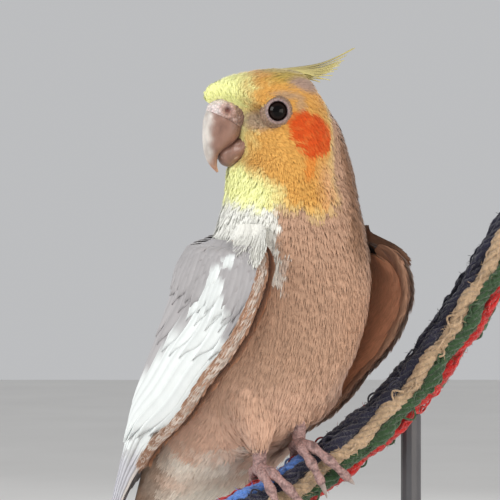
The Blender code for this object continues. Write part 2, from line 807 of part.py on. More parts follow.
def make_tail(parts, guides, torso):
    """The closed tail: graduated feathers, the middle pair longest and on top."""
    vanes = []
    layer = 0
    steps = 5
    for pair, (length, root_side, tip_side) in enumerate(TAIL_FEATHERS):
        for way in (1, -1):
            rows = []
            for k in range(steps + 1):
                share = k / steps
                station = TAIL_START + length / STATION_STEP * share
                middle, _, back = trunk_frame(station)
                centre = root_side + (tip_side - root_side) * share
                wide = TAIL_WIDTH * vane_outline(share) / 2
                inner = centre - wide
                outer = centre + wide
                if pair:
                    inner = max(inner, 0.5)
                    outer = max(outer, inner + 0.6)
                depth = (layer * TAIL_LAYER) * smooth_step(0.3 + share * 3)
                row = []
                for across in (inner, (inner + outer) / 2, outer):
                    point = middle + LEFT * way * across + back * (TAIL_HEIGHT - depth - 0.02 * across * across)
                    row.append((point, point - back * TAIL_THICKNESS))
                rows.append(row)
            verts = []
            for left, centre_pair, right in rows:
                verts += [left[0], centre_pair[0], right[0], right[1], centre_pair[1], left[1]]
            vanes.append(mesh_object("tail_feather", verts, vane_faces(len(rows)), "wing", guides))
            if not pair:
                layer += 1
        layer += 1
    rings = []
    for k in range(5):
        station = TAIL_START - 0.4 + 2.0 * k / 4
        middle, _, back = trunk_frame(station)
        wide = TAIL_ROOT[0] * (1 - (k / 4) ** 2 * 0.6)
        thick = TAIL_ROOT[1] * (1 - 0.8 * k / 4)
        rings.append([
            middle + LEFT * wide * math.cos(a) + back * (thick * math.sin(a) + TAIL_HEIGHT - 2.9)
            for a in (2 * math.pi * j / 12 for j in range(12))])
    tail = loft("tail", rings, "wing", parts)
    apply_boolean(tail, "UNION", vanes)
    cut_clear(tail, [torso], guides)


def rope_frame(place):
    middle = Vector(catmull(ROPE_POINTS, place))
    ahead = Vector(catmull(ROPE_POINTS, place + 0.02))
    behind = Vector(catmull(ROPE_POINTS, place - 0.02))
    along = (ahead - behind).normalized()
    front = along.cross(UP).normalized()
    top = front.cross(along).normalized()
    return middle, along, front, top


def make_rope(parts):
    """Twisted strands as one lobed bar whose lobes turn along its length."""
    last = len(ROPE_POINTS) - 1
    rings = []
    length = 0.0
    previous = None
    for k in range(ROPE_RINGS + 1):
        middle, along, front, top = rope_frame(last * k / ROPE_RINGS)
        if previous is not None:
            length += (middle - previous).length
        previous = middle
        ring = []
        for j in range(ROPE_SIDES):
            angle = 2 * math.pi * j / ROPE_SIDES
            lobe = 1 + ROPE_LOBE * math.cos(ROPE_STRANDS * (angle - 2 * math.pi * length / ROPE_TURN))
            reach = ROPE_RADIUS * lobe / (1 + ROPE_LOBE)
            ring.append(middle + front * reach * math.cos(angle) + top * reach * math.sin(angle))
        rings.append(ring)
    return loft("perch_rope", rings, "rope", parts)


def toe_path(place, turn_way, spread, sweep, radius):
    """Points of a toe that starts over the rope and wraps down round it."""
    points = []
    for k in range(TOE_STEPS + 1):
        share = k / TOE_STEPS
        middle, along, front, top = rope_frame(place)
        angle = math.radians(sweep) * share
        reach = ROPE_RADIUS + radius + 0.2
        out = top * math.cos(angle) + front * turn_way * math.sin(angle)
        points.append(middle + out * reach + along * spread * share)
    return points


def make_foot(name, parts, guides, rope):
    place = FOOT_PLACES[name]
    middle, along, front, top = rope_frame(place)
    hub_at = middle + top * (ROPE_RADIUS + 1.6)
    foot = ellipsoid("foot_" + name, hub_at, (along, front, top), (3.4, 3.4, 2.4), "skin", parts, 6, 10)
    toes = []
    claws = []
    for number, (label, way, spread, sweep) in enumerate(TOE_PLANS, 1):
        points = toe_path(place, way, spread, sweep, TOE_RADIUS)
        radii = [TOE_RADIUS + (TOE_TIP_RADIUS - TOE_RADIUS) * k / TOE_STEPS for k in range(TOE_STEPS + 1)]
        toes.append(tube("toe_" + label, points, radii, "skin", guides, resolution=1))
        tip = points[-1]
        run = (points[-1] - points[-2]).normalized()
        inward = (middle + along * spread - tip).normalized()
        claw_points = []
        for k in range(5):
            share = k / 4
            bend = share * share * CLAW_LENGTH * 0.35
            claw_points.append(tip + run * (GAP + CLAW_LENGTH * share) + inward * bend)
        claw_radii = [CLAW_RADIUS * (1 - 0.85 * k / 4) for k in range(5)]
        claw_name = "claw_" + name + "_" + str(number)
        claws.append(tube(claw_name, claw_points, claw_radii, "claw", parts, resolution=1))
    apply_boolean(foot, "UNION", toes)
    cut_clear(foot, [rope], guides)
    for claw in claws:
        cut_clear(claw, [rope], guides)
    return foot, hub_at


def make_leg(name, side, hub_at, parts, guides, torso, foot, rope):
    """Feathered thigh and bare shank down to the foot."""
    hip = body_point(HIP[0], side * HIP[1], HIP[2])
    knee = body_point(KNEE[0], side * KNEE[1], KNEE[2])
    ankle = hub_at + UP * ANKLE_RISE
    points = [hip, hip.lerp(knee, 0.6), knee, knee.lerp(ankle, 0.5), ankle, hub_at + UP]
    radii = [*THIGH_RADII, TARSUS_RADIUS + 1.0, TARSUS_RADIUS]
    leg = tube("leg_" + name, points, radii, "plumage", parts, resolution=3)
    cut_clear(leg, [torso, foot, rope], guides)


def make_stand(parts, guides, rope):
    width, depth, height = BASE_SIZE
    bpy.ops.mesh.primitive_cube_add(size=1.0, location=(0.0, 0.0, height * MM / 2))
    base = bpy.context.active_object
    base.name = "stand_base"
    base.data.name = "stand_base"
    base.scale = (width * MM, depth * MM, height * MM)
    bpy.ops.object.transform_apply(location=True, rotation=False, scale=True)
    for owner in list(base.users_collection):
        owner.objects.unlink(base)
    parts.objects.link(base)
    bevel = base.modifiers.new("edge", "BEVEL")
    bevel.width = BASE_EDGE * MM
    bevel.segments = 2
    bevel.limit_method = "ANGLE"
    base.data.materials.append(material("stand"))
    for number, across in enumerate(ROD_PLACES, 1):
        middle = min((rope_frame(k * 0.05)[0] for k in range(240)), key=lambda p: abs(p.x - across))
        points = [Vector((across, middle.y, height + GAP)), Vector((across, middle.y, middle.z))]
        rod = tube("stand_rod_" + str(number), points, [ROD_RADIUS] * 2, "stand", parts, resolution=4)
        cut_clear(rod, [rope], guides)


def smooth_shade(parts):
    for item in parts.objects:
        item.data.shade_smooth()
        item.data.set_sharp_from_angle(angle=math.radians(40.0))


def main():
    clear_scene()
    parts = make_collection("cockatiel")
    guides = make_collection("guides")
    torso = make_torso(parts)
    neck = make_neck(parts)
    head = make_head(parts)
    make_bill(parts, guides, head)
    make_eyes(parts, guides, head)
    make_crest(parts, guides, head)
    make_wing("wing_left", 1, parts, guides, torso, neck)
    make_wing("wing_right", -1, parts, guides, torso, neck)
    make_tail(parts, guides, torso)
    rope = make_rope(parts)
    for name, side in (("left", 1), ("right", -1)):
        foot, hub_at = make_foot(name, parts, guides, rope)
        make_leg(name, side, hub_at, parts, guides, torso, foot, rope)
    make_stand(parts, guides, rope)
    smooth_shade(parts)


main()
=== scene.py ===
"""The looks of a life-size cockatiel perched on a cut length of twisted rope above a stand.

Lengths are in millimetres until a mesh is made, where they become metres. The frames of the
trunk, head, wings and rope repeat those of the solids, so each piece lies where its solid is.
"""

import math

import bmesh
import bpy
import numpy as np
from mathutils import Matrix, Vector
from mathutils.bvhtree import BVHTree


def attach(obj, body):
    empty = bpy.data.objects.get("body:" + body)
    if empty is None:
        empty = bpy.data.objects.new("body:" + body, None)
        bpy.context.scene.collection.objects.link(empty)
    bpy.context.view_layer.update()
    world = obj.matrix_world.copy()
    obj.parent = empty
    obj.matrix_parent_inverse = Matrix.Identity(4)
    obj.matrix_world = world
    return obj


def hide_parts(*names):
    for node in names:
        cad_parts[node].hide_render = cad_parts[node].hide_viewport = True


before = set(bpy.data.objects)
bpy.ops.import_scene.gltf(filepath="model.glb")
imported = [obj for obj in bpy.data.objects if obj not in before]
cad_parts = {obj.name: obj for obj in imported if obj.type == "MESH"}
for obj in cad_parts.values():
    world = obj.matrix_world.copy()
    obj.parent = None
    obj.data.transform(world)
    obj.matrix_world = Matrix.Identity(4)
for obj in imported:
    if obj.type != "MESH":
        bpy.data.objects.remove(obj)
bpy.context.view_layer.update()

MM = 0.001
SEED = 20
UP = Vector((0.0, 0.0, 1.0))
SHOULDER_HEIGHT = 203.0

# Trunk frame and the stations of its middle line: forward, up and pitch
BODY_YAW = math.radians(40.0)
TRUNK_ORIGIN = Vector((12.0, -20.0, SHOULDER_HEIGHT))
FORWARD = Vector((math.sin(BODY_YAW), -math.cos(BODY_YAW), 0.0))
LEFT = Vector((math.cos(BODY_YAW), math.sin(BODY_YAW), 0.0))
TRUNK = (
    (0.0, 18.0, 90.0),
    (0.0, 4.0, 86.0),
    (-2.0, -8.0, 74.0),
    (-8.0, -22.0, 58.0),
    (-18.0, -36.0, 49.0),
    (-29.0, -48.0, 45.0),
    (-40.0, -59.0, 43.0),
    (-51.0, -69.0, 42.0),
    (-62.0, -79.0, 42.0),
    (-73.0, -89.0, 42.0),
)
STATION_STEP = 14.9
BREADTH_STEPS = 12
LAST_STATION = len(TRUNK) - 1

# Head frame, bill sections (ridge forward and up, edge forward and up, half width), eyes
HEAD_YAW = math.radians(18.0)
HEAD_AXIS = Vector((7.4, -22.0, SHOULDER_HEIGHT))
BEAK_WAY = Vector((-math.cos(HEAD_YAW), -math.sin(HEAD_YAW), 0.0))
HEAD_LEFT = Vector((math.sin(HEAD_YAW), -math.cos(HEAD_YAW), 0.0))
CERE_SECTIONS = (
    (13.0, 46.0, 8.4, 37.4, 4.6),
    (18.4, 44.4, 9.8, 36.2, 5.6),
    (20.6, 42.2, 10.4, 35.4, 5.8),
    (21.1, 40.6, 10.6, 34.8, 5.5),
)
UPPER_BILL_SECTIONS = (
    (21.1, 40.6, 10.6, 34.8, 5.3),
    (21.9, 38.2, 11.2, 33.2, 5.2),
    (22.2, 35.2, 12.6, 31.6, 4.9),
    (22.2, 32.0, 14.2, 30.2, 4.3),
    (22.0, 29.4, 16.0, 29.2, 3.5),
    (21.3, 26.8, 17.6, 27.8, 2.4),
    (19.9, 24.5, 18.0, 25.0, 1.3),
    (18.0, 22.6, 17.5, 22.9, 0.4),
)
LOWER_BILL_SECTIONS = (
    (7.0, 32.4, 7.0, 28.2, 3.2),
    (10.6, 33.2, 10.2, 26.6, 4.7),
    (12.6, 32.4, 12.2, 25.0, 5.0),
    (14.4, 31.2, 14.4, 24.3, 4.6),
    (16.4, 30.0, 16.3, 24.9, 3.5),
    (17.5, 28.8, 17.3, 26.2, 1.9),
)
BILL_SKEW = 0.2
BILL_GRID = (48, 48)
CERE_GRID = (44, 64)
BILL_ROOT = (12.0, 37.5)
NOSTRIL = (16.2, 40.6)
CERE_MIDDLE = (16.0, 0.0, 41.0)
EYE_PLACE = (3.4, 11.5, 40.0)
EYE_TURN = math.radians(12.0)
EYE_RADIUS = 3.6
EYE_ROWS = 24
EYE_SIDES = 40
PUPIL_RADIUS = 1.5
CORNEA_TURN = 0.75

# Wing sections: station, then four points as distance from the middle and height
WING_SECTIONS = (
    (1.0, (23.5, -12.0), (26.5, -4.0), (25.0, 9.0), (13.0, 20.0)),
    (1.4, (27.0, -20.0), (31.0, -6.0), (29.0, 10.0), (11.0, 23.5)),
    (2.0, (30.0, -22.0), (33.5, -6.0), (31.0, 12.0), (7.0, 26.5)),
    (2.7, (31.0, -19.0), (34.0, -4.0), (30.0, 14.0), (4.0, 27.5)),
    (3.5, (31.0, -14.0), (34.0, 0.0), (28.0, 16.0), (2.5, 26.5)),
    (4.5, (30.0, -11.0), (33.0, 2.0), (26.0, 16.0), (2.0, 24.5)),
    (5.5, (28.0, -6.0), (30.5, 5.0), (22.0, 16.0), (2.0, 21.5)),
    (6.4, (26.0, -4.5), (27.5, 4.5), (18.0, 13.0), (2.0, 17.5)),
    (7.3, (23.5, -3.5), (23.0, 4.0), (13.5, 10.5), (2.0, 14.0)),
    (8.5, (18.5, -2.5), (17.0, 3.5), (10.0, 8.0), (2.0, 10.5)),
    (9.8, (13.5, 2.5), (11.5, 7.0), (7.5, 9.5), (2.5, 10.5)),
    (11.2, (9.5, 6.5), (8.0, 8.5), (5.5, 10.0), (3.0, 10.5)),
)

# Rope: points of its middle line
ROPE_POINTS = (
    (-40.0, -34.0, 118.5),
    (-26.0, -30.5, 119.5),
    (-12.0, -27.0, 122.0),
    (0.0, -23.5, 126.5),
    (11.5, -20.5, 132.4),
    (22.6, -18.0, 139.8),
    (33.8, -15.5, 148.2),
    (43.0, -13.5, 156.6),
    (51.5, -11.5, 166.2),
    (59.5, -9.5, 176.6),
    (67.0, -7.5, 187.6),
    (74.5, -5.5, 199.6),
    (81.5, -3.5, 211.5),
)
ROPE_RADIUS = 8.3

# Feet: place along the rope; each toe's side, spread along the rope and sweep round it
FOOT_PLACES = {"left": 4.75, "right": 3.62}
KNEE = (-3.0, 12.0, -43.0)
TOE_PLANS = ((1, -2.5, 100.0), (1, 5.0, 122.0), (-1, -3.0, 92.0), (-1, 4.0, 108.0))
TOE_RADIUS = 1.7
TOE_TIP_RADIUS = 1.15
CLAW_LENGTH = 5.2

# Camera: the photo's frame, 3.4 pixels to a millimetre at the head's distance
CAMERA_DISTANCE = 700.0
PIXELS_PER_MM = 3.4
PICTURE = 500.0
SENSOR = 36.0


def srgb(red, green, blue):
    """A colour given as 0 to 255 turned into linear values."""
    values = np.array((red, green, blue), float) / 255.0
    return np.where(values <= 0.04045, values / 12.92, ((values + 0.055) / 1.055) ** 2.4)


FAWN = srgb(186, 150, 126)
# painted warm light on one side of the lower body
FAWN_WARM_LIGHT = srgb(204, 156, 124)
NAPE = srgb(140, 104, 78)
BIB = srgb(232, 232, 226)
LEMON = srgb(242, 244, 172)
GOLD = srgb(216, 162, 82)
CROWN = srgb(174, 158, 74)
LILAC = srgb(165, 140, 132)
BLUSH = srgb(222, 176, 140)
CHEEK = srgb(212, 80, 14)
CHEEK_TAIL = srgb(226, 146, 62)
LORES = srgb(164, 146, 132)
BELLY = srgb(222, 182, 158)
VENT = srgb(238, 228, 214)
WING_GREY = srgb(168, 165, 167)
WING_WHITE = srgb(228, 233, 233)
WING_PALE = srgb(196, 196, 204)
WING_CREAM = srgb(206, 196, 186)
# brown round the wing's leading edge, partly painted shadow
WING_EDGE_BROWN_AND_SHADOW = srgb(172, 132, 108)
WING_LINING = srgb(214, 160, 126)
# brown of the wing's edge, also used for painted shadow and shade
WING_BROWN_AND_SHADOW = srgb(150, 116, 92)
TAIL_GREY = srgb(178, 174, 177)
BILL = srgb(134, 101, 88)
BILL_PALE = srgb(212, 188, 182)
# pale colour of the bill's ridge, a painted highlight
BILL_RIDGE_HIGHLIGHT = srgb(196, 190, 184)
BILL_TIP = srgb(190, 146, 122)
CLAW = srgb(168, 152, 146)
CREST_YELLOW = srgb(226, 216, 140)
CREST_SHAFT = srgb(128, 116, 92)
CERE = srgb(226, 212, 210)
NOSTRIL_RING = srgb(206, 170, 160)
NOSTRIL_PIT = srgb(140, 92, 84)
PUPIL = srgb(5, 4, 4)
IRIS = srgb(22, 12, 9)
LID_RIM = srgb(96, 80, 84)
LID_RING = srgb(166, 143, 140)
LID_OUTER = srgb(150, 124, 104)
TOE = srgb(180, 146, 142)
TOE_SPOTS = srgb(104, 82, 82)
ROPE_CORE = srgb(150, 140, 130)
FLOOR_DARK = (0.78, 0.77, 0.75)
FLOOR_LIGHT = (0.82, 0.81, 0.79)
BARB_SLANT = -0.16


# Shared shapes

def smooth(values):
    """An even start and stop between 0 and 1."""
    t = np.clip(values, 0.0, 1.0)
    return t * t * (3.0 - 2.0 * t)


def catmull(table, place):
    """A smooth value between the rows of a table, at a place counted in rows."""
    last = len(table) - 1
    place = min(max(place, 0.0), float(last))
    low = min(int(place), last - 1)
    t = place - low
    rows = [table[min(max(low + k, 0), last)] for k in (-1, 0, 1, 2)]
    result = []
    for a, b, c, d in zip(*rows):
        value = b + 0.5 * t * (c - a + t * (2 * a - 5 * b + 4 * c - d + t * (3 * (b - c) + d - a)))
        result.append(value)
    return result


def head_point(forward, left, up):
    """A point in the head's frame, from the middle of its axis at shoulder height."""
    return HEAD_AXIS + BEAK_WAY * forward + HEAD_LEFT * left + UP * up


def body_point(forward, left, up):
    """A point in the trunk's frame."""
    return TRUNK_ORIGIN + FORWARD * forward + LEFT * left + UP * up


def knee_point(side):
    """The knee on the side that is 1 for left and -1 for right."""
    return body_point(KNEE[0], side * KNEE[1], KNEE[2])


def trunk_frame(station):
    """Middle, tailward way and way to the back at a station; past the last one the run is straight."""
    row = catmull(TRUNK, station)
    pitch = math.radians(row[2])
    tailward = -FORWARD * math.cos(pitch) - UP * math.sin(pitch)
    back = -FORWARD * math.sin(pitch) + UP * math.cos(pitch)
    middle = body_point(row[0], 0.0, row[1])
    if station > LAST_STATION:
        middle = middle + tailward * (station - LAST_STATION) * STATION_STEP
    return middle, tailward, back


def wing_section(station):
    """The wing's four points at a station."""
    stations = [row[0] for row in WING_SECTIONS]
    place = 0.0
    for k in range(len(stations) - 1):
        if station >= stations[k]:
            place = k + min((station - stations[k]) / (stations[k + 1] - stations[k]), 1.0)
    return [catmull([row[1 + j] for row in WING_SECTIONS], place) for j in range(4)]


def wing_breadth(station):
    """Length over the wing's surface from its leading edge to its back edge."""
    corners = wing_section(station)
    points = [Vector(catmull(corners, 3 * k / BREADTH_STEPS)) for k in range(BREADTH_STEPS + 1)]
    return sum((b - a).length for a, b in zip(points, points[1:]))


def rope_frame(place):
    """Middle, way along, front and top of the rope at a place counted in its points."""
    middle = Vector(catmull(ROPE_POINTS, place))
    ahead = Vector(catmull(ROPE_POINTS, place + 0.02))
    behind = Vector(catmull(ROPE_POINTS, place - 0.02))
    along = (ahead - behind).normalized()
    front = along.cross(UP).normalized()
    top = front.cross(along).normalized()
    return middle, along, front, top


def noise(points, size, seed=0):
    """Smooth seeded noise from -1 to 1 at points, with lumps about size across."""
    cell = np.asarray(points, float) / size + 100.0 + seed * 17.3
    low = np.floor(cell).astype(np.int64)
    t = smooth(cell - low)
    total = np.zeros(len(cell))
    for corner in range(8):
        step = np.array(((corner >> 0) & 1, (corner >> 1) & 1, (corner >> 2) & 1))
        key = (low + step) @ np.array((73856093, 19349663, 83492791))
        value = ((key * 2654435761) % 1000003) / 500001.5 - 1.0
        weight = np.prod(np.where(step == 1, t, 1.0 - t), axis=1)
        total += weight * value
    return total


def dots(vectors, way):
    return vectors @ np.array(way)


def head_coordinates(points):
    """Distances forward, left and up in the head's frame."""
    local = np.asarray(points, float) - np.array(HEAD_AXIS)
    return dots(local, BEAK_WAY), dots(local, HEAD_LEFT), local[:, 2]


# Meshes

def values_of(items, key, width, kind=float):
    """One row of values for each of a mesh's points, corners or triangles."""
    values = np.zeros(len(items) * width, kind)
    items.foreach_get(key, values)
    return values.reshape(-1, width)


def mark(mesh, colours):
    """Stores the marking colour of each point, which the materials read."""
    full = np.ones((len(mesh.vertices), 4), np.float32)
    full[:, :3] = colours
    layer = mesh.color_attributes.new("marking", "FLOAT_COLOR", "POINT")
    layer.data.foreach_set("color", full.ravel())


def mesh_piece(name, verts, faces, colours=None, material=None, uvs=None):
    """A mesh object from points in millimetres, with colours on points and UV maps on corners."""
    mesh = bpy.data.meshes.new(name)
    verts = np.asarray(verts, float)
    mesh.from_pydata((verts * MM).tolist(), [], faces if isinstance(faces, list) else faces.tolist())
    if colours is not None:
        mark(mesh, colours)
    corners = values_of(mesh.loops, "vertex_index", 1, np.int32)[:, 0]
    for map_name, values in (uvs or {}).items():
        layer = mesh.uv_layers.new(name=map_name)
        layer.data.foreach_set("uv", np.asarray(values, np.float32)[corners].ravel())
    mesh.shade_smooth()
    if material is not None:
        mesh.materials.append(material)
    made = bpy.data.objects.new(name, mesh)
    bpy.context.scene.collection.objects.link(made)
    return made


def node_mesh(names, swell=0.0):
    """Points in metres and faces of CAD nodes, moved out along their normals by swell in millimetres."""
    verts = []
    faces = []
    for name in names:
        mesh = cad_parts[name].data
        start = len(verts)
        verts += [v.co + v.normal * swell * MM for v in mesh.vertices]
        faces += [tuple(start + k for k in face.vertices) for face in mesh.polygons]
    return verts, faces


def placed(piece, slot, *nodes):
    """Rides on the model's one body and stands in for CAD nodes; the slot is not used."""
    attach(piece, "root")
    if nodes:
        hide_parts(*nodes)
    return piece


def grid_faces(rows, count):
    """Quads over rows of points that each close into a ring."""
    faces = []
    for row in range(rows - 1):
        for k in range(count):
            a = row * count + k
            b = row * count + (k + 1) % count
            faces.append((a, b, b + count, a + count))
    return faces


def closed_loft(rings):
    """Points and faces of a closed skin over rings, with a point in the middle of each end."""
    count = len(rings[0])
    verts = [tuple(p) for ring in rings for p in ring]
    faces = grid_faces(len(rings), count)
    for row, turn in ((0, True), (len(rings) - 1, False)):
        hub = len(verts)
        verts.append(tuple(sum((Vector(p) for p in rings[row]), Vector()) / count))
        for k in range(count):
            a = row * count + k
            b = row * count + (k + 1) % count
            faces.append((b, a, hub) if turn else (a, b, hub))
    return verts, faces


def outward(piece):
    """Turns every face of a closed piece to the outside."""
    bm = bmesh.new()
    bm.from_mesh(piece.data)
    bmesh.ops.recalc_face_normals(bm, faces=bm.faces)
    bm.to_mesh(piece.data)
    bm.free()
    return piece


def tube_rings(points, radii, sides, wobble=None):
    """Rings round a path; wobble changes the radius at a share of the length and an angle."""
    rings = []
    count = len(points)
    normal = None
    for k, (point, radius) in enumerate(zip(points, radii)):
        run = (points[min(k + 1, count - 1)] - points[max(k - 1, 0)]).normalized()
        if normal is None:
            normal = run.orthogonal().normalized()
        normal = (normal - run * normal.dot(run)).normalized()
        across = run.cross(normal)
        ring = []
        for j in range(sides):
            angle = 2 * math.pi * j / sides
            reach = radius * (1 + (wobble(k / (count - 1), angle) if wobble else 0.0))
            ring.append(point + (normal * math.cos(angle) + across * math.sin(angle)) * reach)
        rings.append(ring)
    return rings


class Tubes:
    """Closed tubes round paths, collected into one mesh."""

    def __init__(self):
        self.verts = []
        self.faces = []
        self.tones = []

    def grow(self, points, radii, sides, tone, wobble=None):
        """One tube; tone is one colour or a colour for each ring."""
        ring_verts, ring_faces = closed_loft(tube_rings(points, radii, sides, wobble))
        start = len(self.verts)
        self.verts.extend(tuple(v) for v in ring_verts)
        self.faces.extend(tuple(start + v for v in face) for face in ring_faces)
        tones = np.broadcast_to(tone, (len(points), 3))
        self.tones.append(np.concatenate((np.repeat(tones, sides, axis=0), tones[[0, -1]])))

    def points(self):
        return np.array(self.verts)

    def colours(self):
        return np.concatenate(self.tones)


# Materials

class Nodes:
    """A material being made: adds nodes and joins them."""

    def __init__(self, name, roughness, specular):
        self.material = bpy.data.materials.new(name)
        self.material.use_nodes = True
        self.tree = self.material.node_tree
        self.shader = self.tree.nodes["Principled BSDF"]
        self.surface(Roughness=roughness, Specular_IOR_Level=specular)

    def add(self, kind, **values):
        """A new node with its settings."""
        node = self.tree.nodes.new("ShaderNode" + kind)
        for key, value in values.items():
            setattr(node, key, value)
        return node

    def join(self, output, target):
        self.tree.links.new(output, target)

    def surface(self, **values):
        """Plain values of the shader, with spaces in their names written as underscores."""
        for key, value in values.items():
            self.shader.inputs[key.replace("_", " ")].default_value = value

    def noise(self, scale, detail, stretch=(1.0, 1.0, 1.0), vector=None):
        """Noise over the object's own coordinates, or over another vector."""
        node = self.add("TexNoise")
        node.inputs["Scale"].default_value = scale
        node.inputs["Detail"].default_value = detail
        self.join(vector or self.position(stretch), node.inputs["Vector"])
        return node.outputs["Fac"]

    def operate(self, operation, source, *values):
        """The result of a Math node over source, then a plain value, then another output."""
        node = self.add("Math", operation=operation)
        self.join(source, node.inputs[0])
        if values:
            node.inputs[1].default_value = values[0]
        if len(values) > 1:
            self.join(values[1], node.inputs[2])
        return node.outputs[0]

    def position(self, stretch=(1.0, 1.0, 1.0)):
        """The object's own coordinates, stretched."""
        place = self.add("TexCoord")
        mapping = self.add("Mapping")
        mapping.inputs["Scale"].default_value = stretch
        self.join(place.outputs["Object"], mapping.inputs["Vector"])
        return mapping.outputs["Vector"]

    def ramp(self, value, *stops):
        """Colours at places from 0 to 1."""
        node = self.add("ValToRGB")
        ramp = node.color_ramp
        while len(ramp.elements) < len(stops):
            ramp.elements.new(0.5)
        for element, (place, colour) in zip(ramp.elements, stops):
            element.position = place
            element.color = (*colour, 1.0)
        self.join(value, node.inputs["Fac"])
        return node.outputs["Color"]

    def marking(self):
        node = self.add("Attribute", attribute_name="marking")
        return node.outputs["Color"]

    def shade(self, colour, value, low, high):
        """Colour times a value's range, for light and dark mottling."""
        spread = self.add("MapRange")
        spread.inputs["To Min"].default_value = low
        spread.inputs["To Max"].default_value = high
        self.join(value, spread.inputs["Value"])
        mix = self.add("VectorMath", operation="SCALE")
        self.join(colour, mix.inputs[0])
        self.join(spread.outputs["Result"], mix.inputs["Scale"])
        return mix.outputs["Vector"]

    def bump(self, height, strength, distance, base=None):
        """Small relief, over a base normal where one is given."""
        node = self.add("Bump")
        node.inputs["Strength"].default_value = strength
        node.inputs["Distance"].default_value = distance
        self.join(height, node.inputs["Height"])
        if base is not None:
            self.join(base, node.inputs["Normal"])
        return node.outputs["Normal"]

    def finish(self, colour, normal=None):
        """Joins the colour and relief to the shader."""
        self.join(colour, self.shader.inputs["Base Color"])
        if normal is not None:
            self.join(normal, self.shader.inputs["Normal"])
        return self.material


def coat_material():
    """Short soft feathers: the marking with fine mottling and a soft sheen."""
    n = Nodes("coat_feathers", 0.72, 0.25)
    n.surface(Sheen_Weight=0.25, Sheen_Roughness=0.45)
    colour = n.shade(n.marking(), n.noise(900.0, 4.0), 0.92, 1.08)
    return n.finish(colour, n.bump(n.noise(2600.0, 2.0), 0.25, 0.0002))


def skin_material():
    """The layer under the feathers, in their colours."""
    n = Nodes("under_coat", 0.85, 0.2)
    colour = n.shade(n.marking(), n.noise(700.0, 4.0), 0.85, 1.05)
    return n.finish(colour, n.bump(n.noise(1500.0, 3.0), 0.4, 0.0004))


def vane_material(name, roughness):
    """Long feathers: barbs run out from the shaft on both sides."""
    n = Nodes(name, roughness, 0.35)
    n.surface(Sheen_Weight=0.12)
    place = n.add("UVMap", uv_map="Vane")
    split = n.add("SeparateXYZ")
    n.join(place.outputs["UV"], split.inputs["Vector"])
    away = n.operate("ABSOLUTE", n.operate("SUBTRACT", split.outputs["X"], 0.5))
    run = n.add("CombineXYZ")
    n.join(n.operate("MULTIPLY_ADD", away, BARB_SLANT, split.outputs["Y"]), run.inputs["X"])
    barbs = n.noise(150.0, 2.0, vector=run.outputs["Vector"])
    colour = n.shade(n.marking(), barbs, 0.90, 1.10)
    colour = n.shade(colour, n.noise(260.0, 3.0), 0.94, 1.06)
    return n.finish(colour, n.bump(barbs, 0.35, 0.0002))


def horn_material(name, dark, pale, roughness):
    """Bill and claw horn: the marking with cloudy patches, and fine scratches."""
    n = Nodes(name, roughness, 0.5)
    n.surface(Subsurface_Weight=0.08, Subsurface_Radius=(0.002, 0.001, 0.0007))
    cloud = n.noise(420.0, 5.0, (1.0, 1.0, 0.6))
    tint = n.add("Mix", data_type="RGBA", blend_type="MULTIPLY")
    tint.inputs["Factor"].default_value = 1.0
    n.join(n.ramp(cloud, (0.34, dark), (0.52, (1.0, 1.0, 1.0)), (0.70, pale)), tint.inputs[6])
    n.join(n.marking(), tint.inputs[7])
    fine = n.noise(1900.0, 4.0, (1.0, 1.0, 0.7))
    return n.finish(tint.outputs[2], n.bump(fine, 0.3, 0.0003, n.bump(cloud, 0.3, 0.0005)))


def bare_skin_material(name):
    """Bare skin with small scales."""
    n = Nodes(name, 0.55, 0.4)
    n.surface(Subsurface_Weight=0.15, Subsurface_Radius=(0.0025, 0.001, 0.0008))
    cells = n.add("TexVoronoi")
    cells.inputs["Scale"].default_value = 1500.0
    n.join(n.position(), cells.inputs["Vector"])
    colour = n.shade(n.marking(), n.noise(900.0, 4.0), 0.75, 1.2)
    colour = n.shade(colour, cells.outputs["Distance"], 1.15, 0.55)
    return n.finish(colour, n.bump(cells.outputs["Distance"], 0.6, 0.0005))


def eye_material():
    """Wet and nearly black."""
    n = Nodes("wet_eye", 0.05, 0.5)
    n.surface(IOR=1.22)
    return n.finish(n.shade(n.marking(), n.noise(1800.0, 3.0), 0.7, 1.3))


def yarn_material():
    """Cotton yarn: fibres along the twist, fuzzy and matt."""
    n = Nodes("rope_yarn", 0.9, 0.15)
    n.surface(Sheen_Weight=0.4)
    fibres = n.noise(1100.0, 6.0, (1.0, 1.0, 0.6))
    fine = n.noise(4200.0, 3.0, (0.6, 1.0, 1.0))
    colour = n.shade(n.shade(n.marking(), fibres, 0.35, 1.55), fine, 0.7, 1.3)
    return n.finish(colour, n.bump(fine, 0.8, 0.0005, n.bump(fibres, 0.9, 0.0010)))


def paint_material():
    """Fine-grained satin paint on steel."""
    n = Nodes("stand_paint", 0.42, 0.5)
    colour = n.ramp(n.noise(30.0, 4.0), (0.3, srgb(70, 70, 74)), (0.7, srgb(88, 88, 92)))
    return n.finish(colour, n.bump(n.noise(2600.0, 2.0), 0.25, 0.0002))


def floor_material():
    n = Nodes("floor", 0.8, 0.2)
    return n.finish(n.ramp(n.noise(6.0, 3.0), (0.3, FLOOR_DARK), (0.7, FLOOR_LIGHT)))


# Markings, worked out from where a point lies on the bird

def toward(colours, target, mask):
    """Colours moved to a target where the mask is 1."""
    return colours + (target - colours) * np.clip(mask, 0.0, 1.0)[:, None]


def blob(a, b, middle, radii, soft=0.35):
    """Mask of an ellipse in two coordinates, with a soft rim."""
    distance = np.hypot((a - middle[0]) / radii[0], (b - middle[1]) / radii[1])
    return smooth((1.0 + soft - distance) / (2.0 * soft))


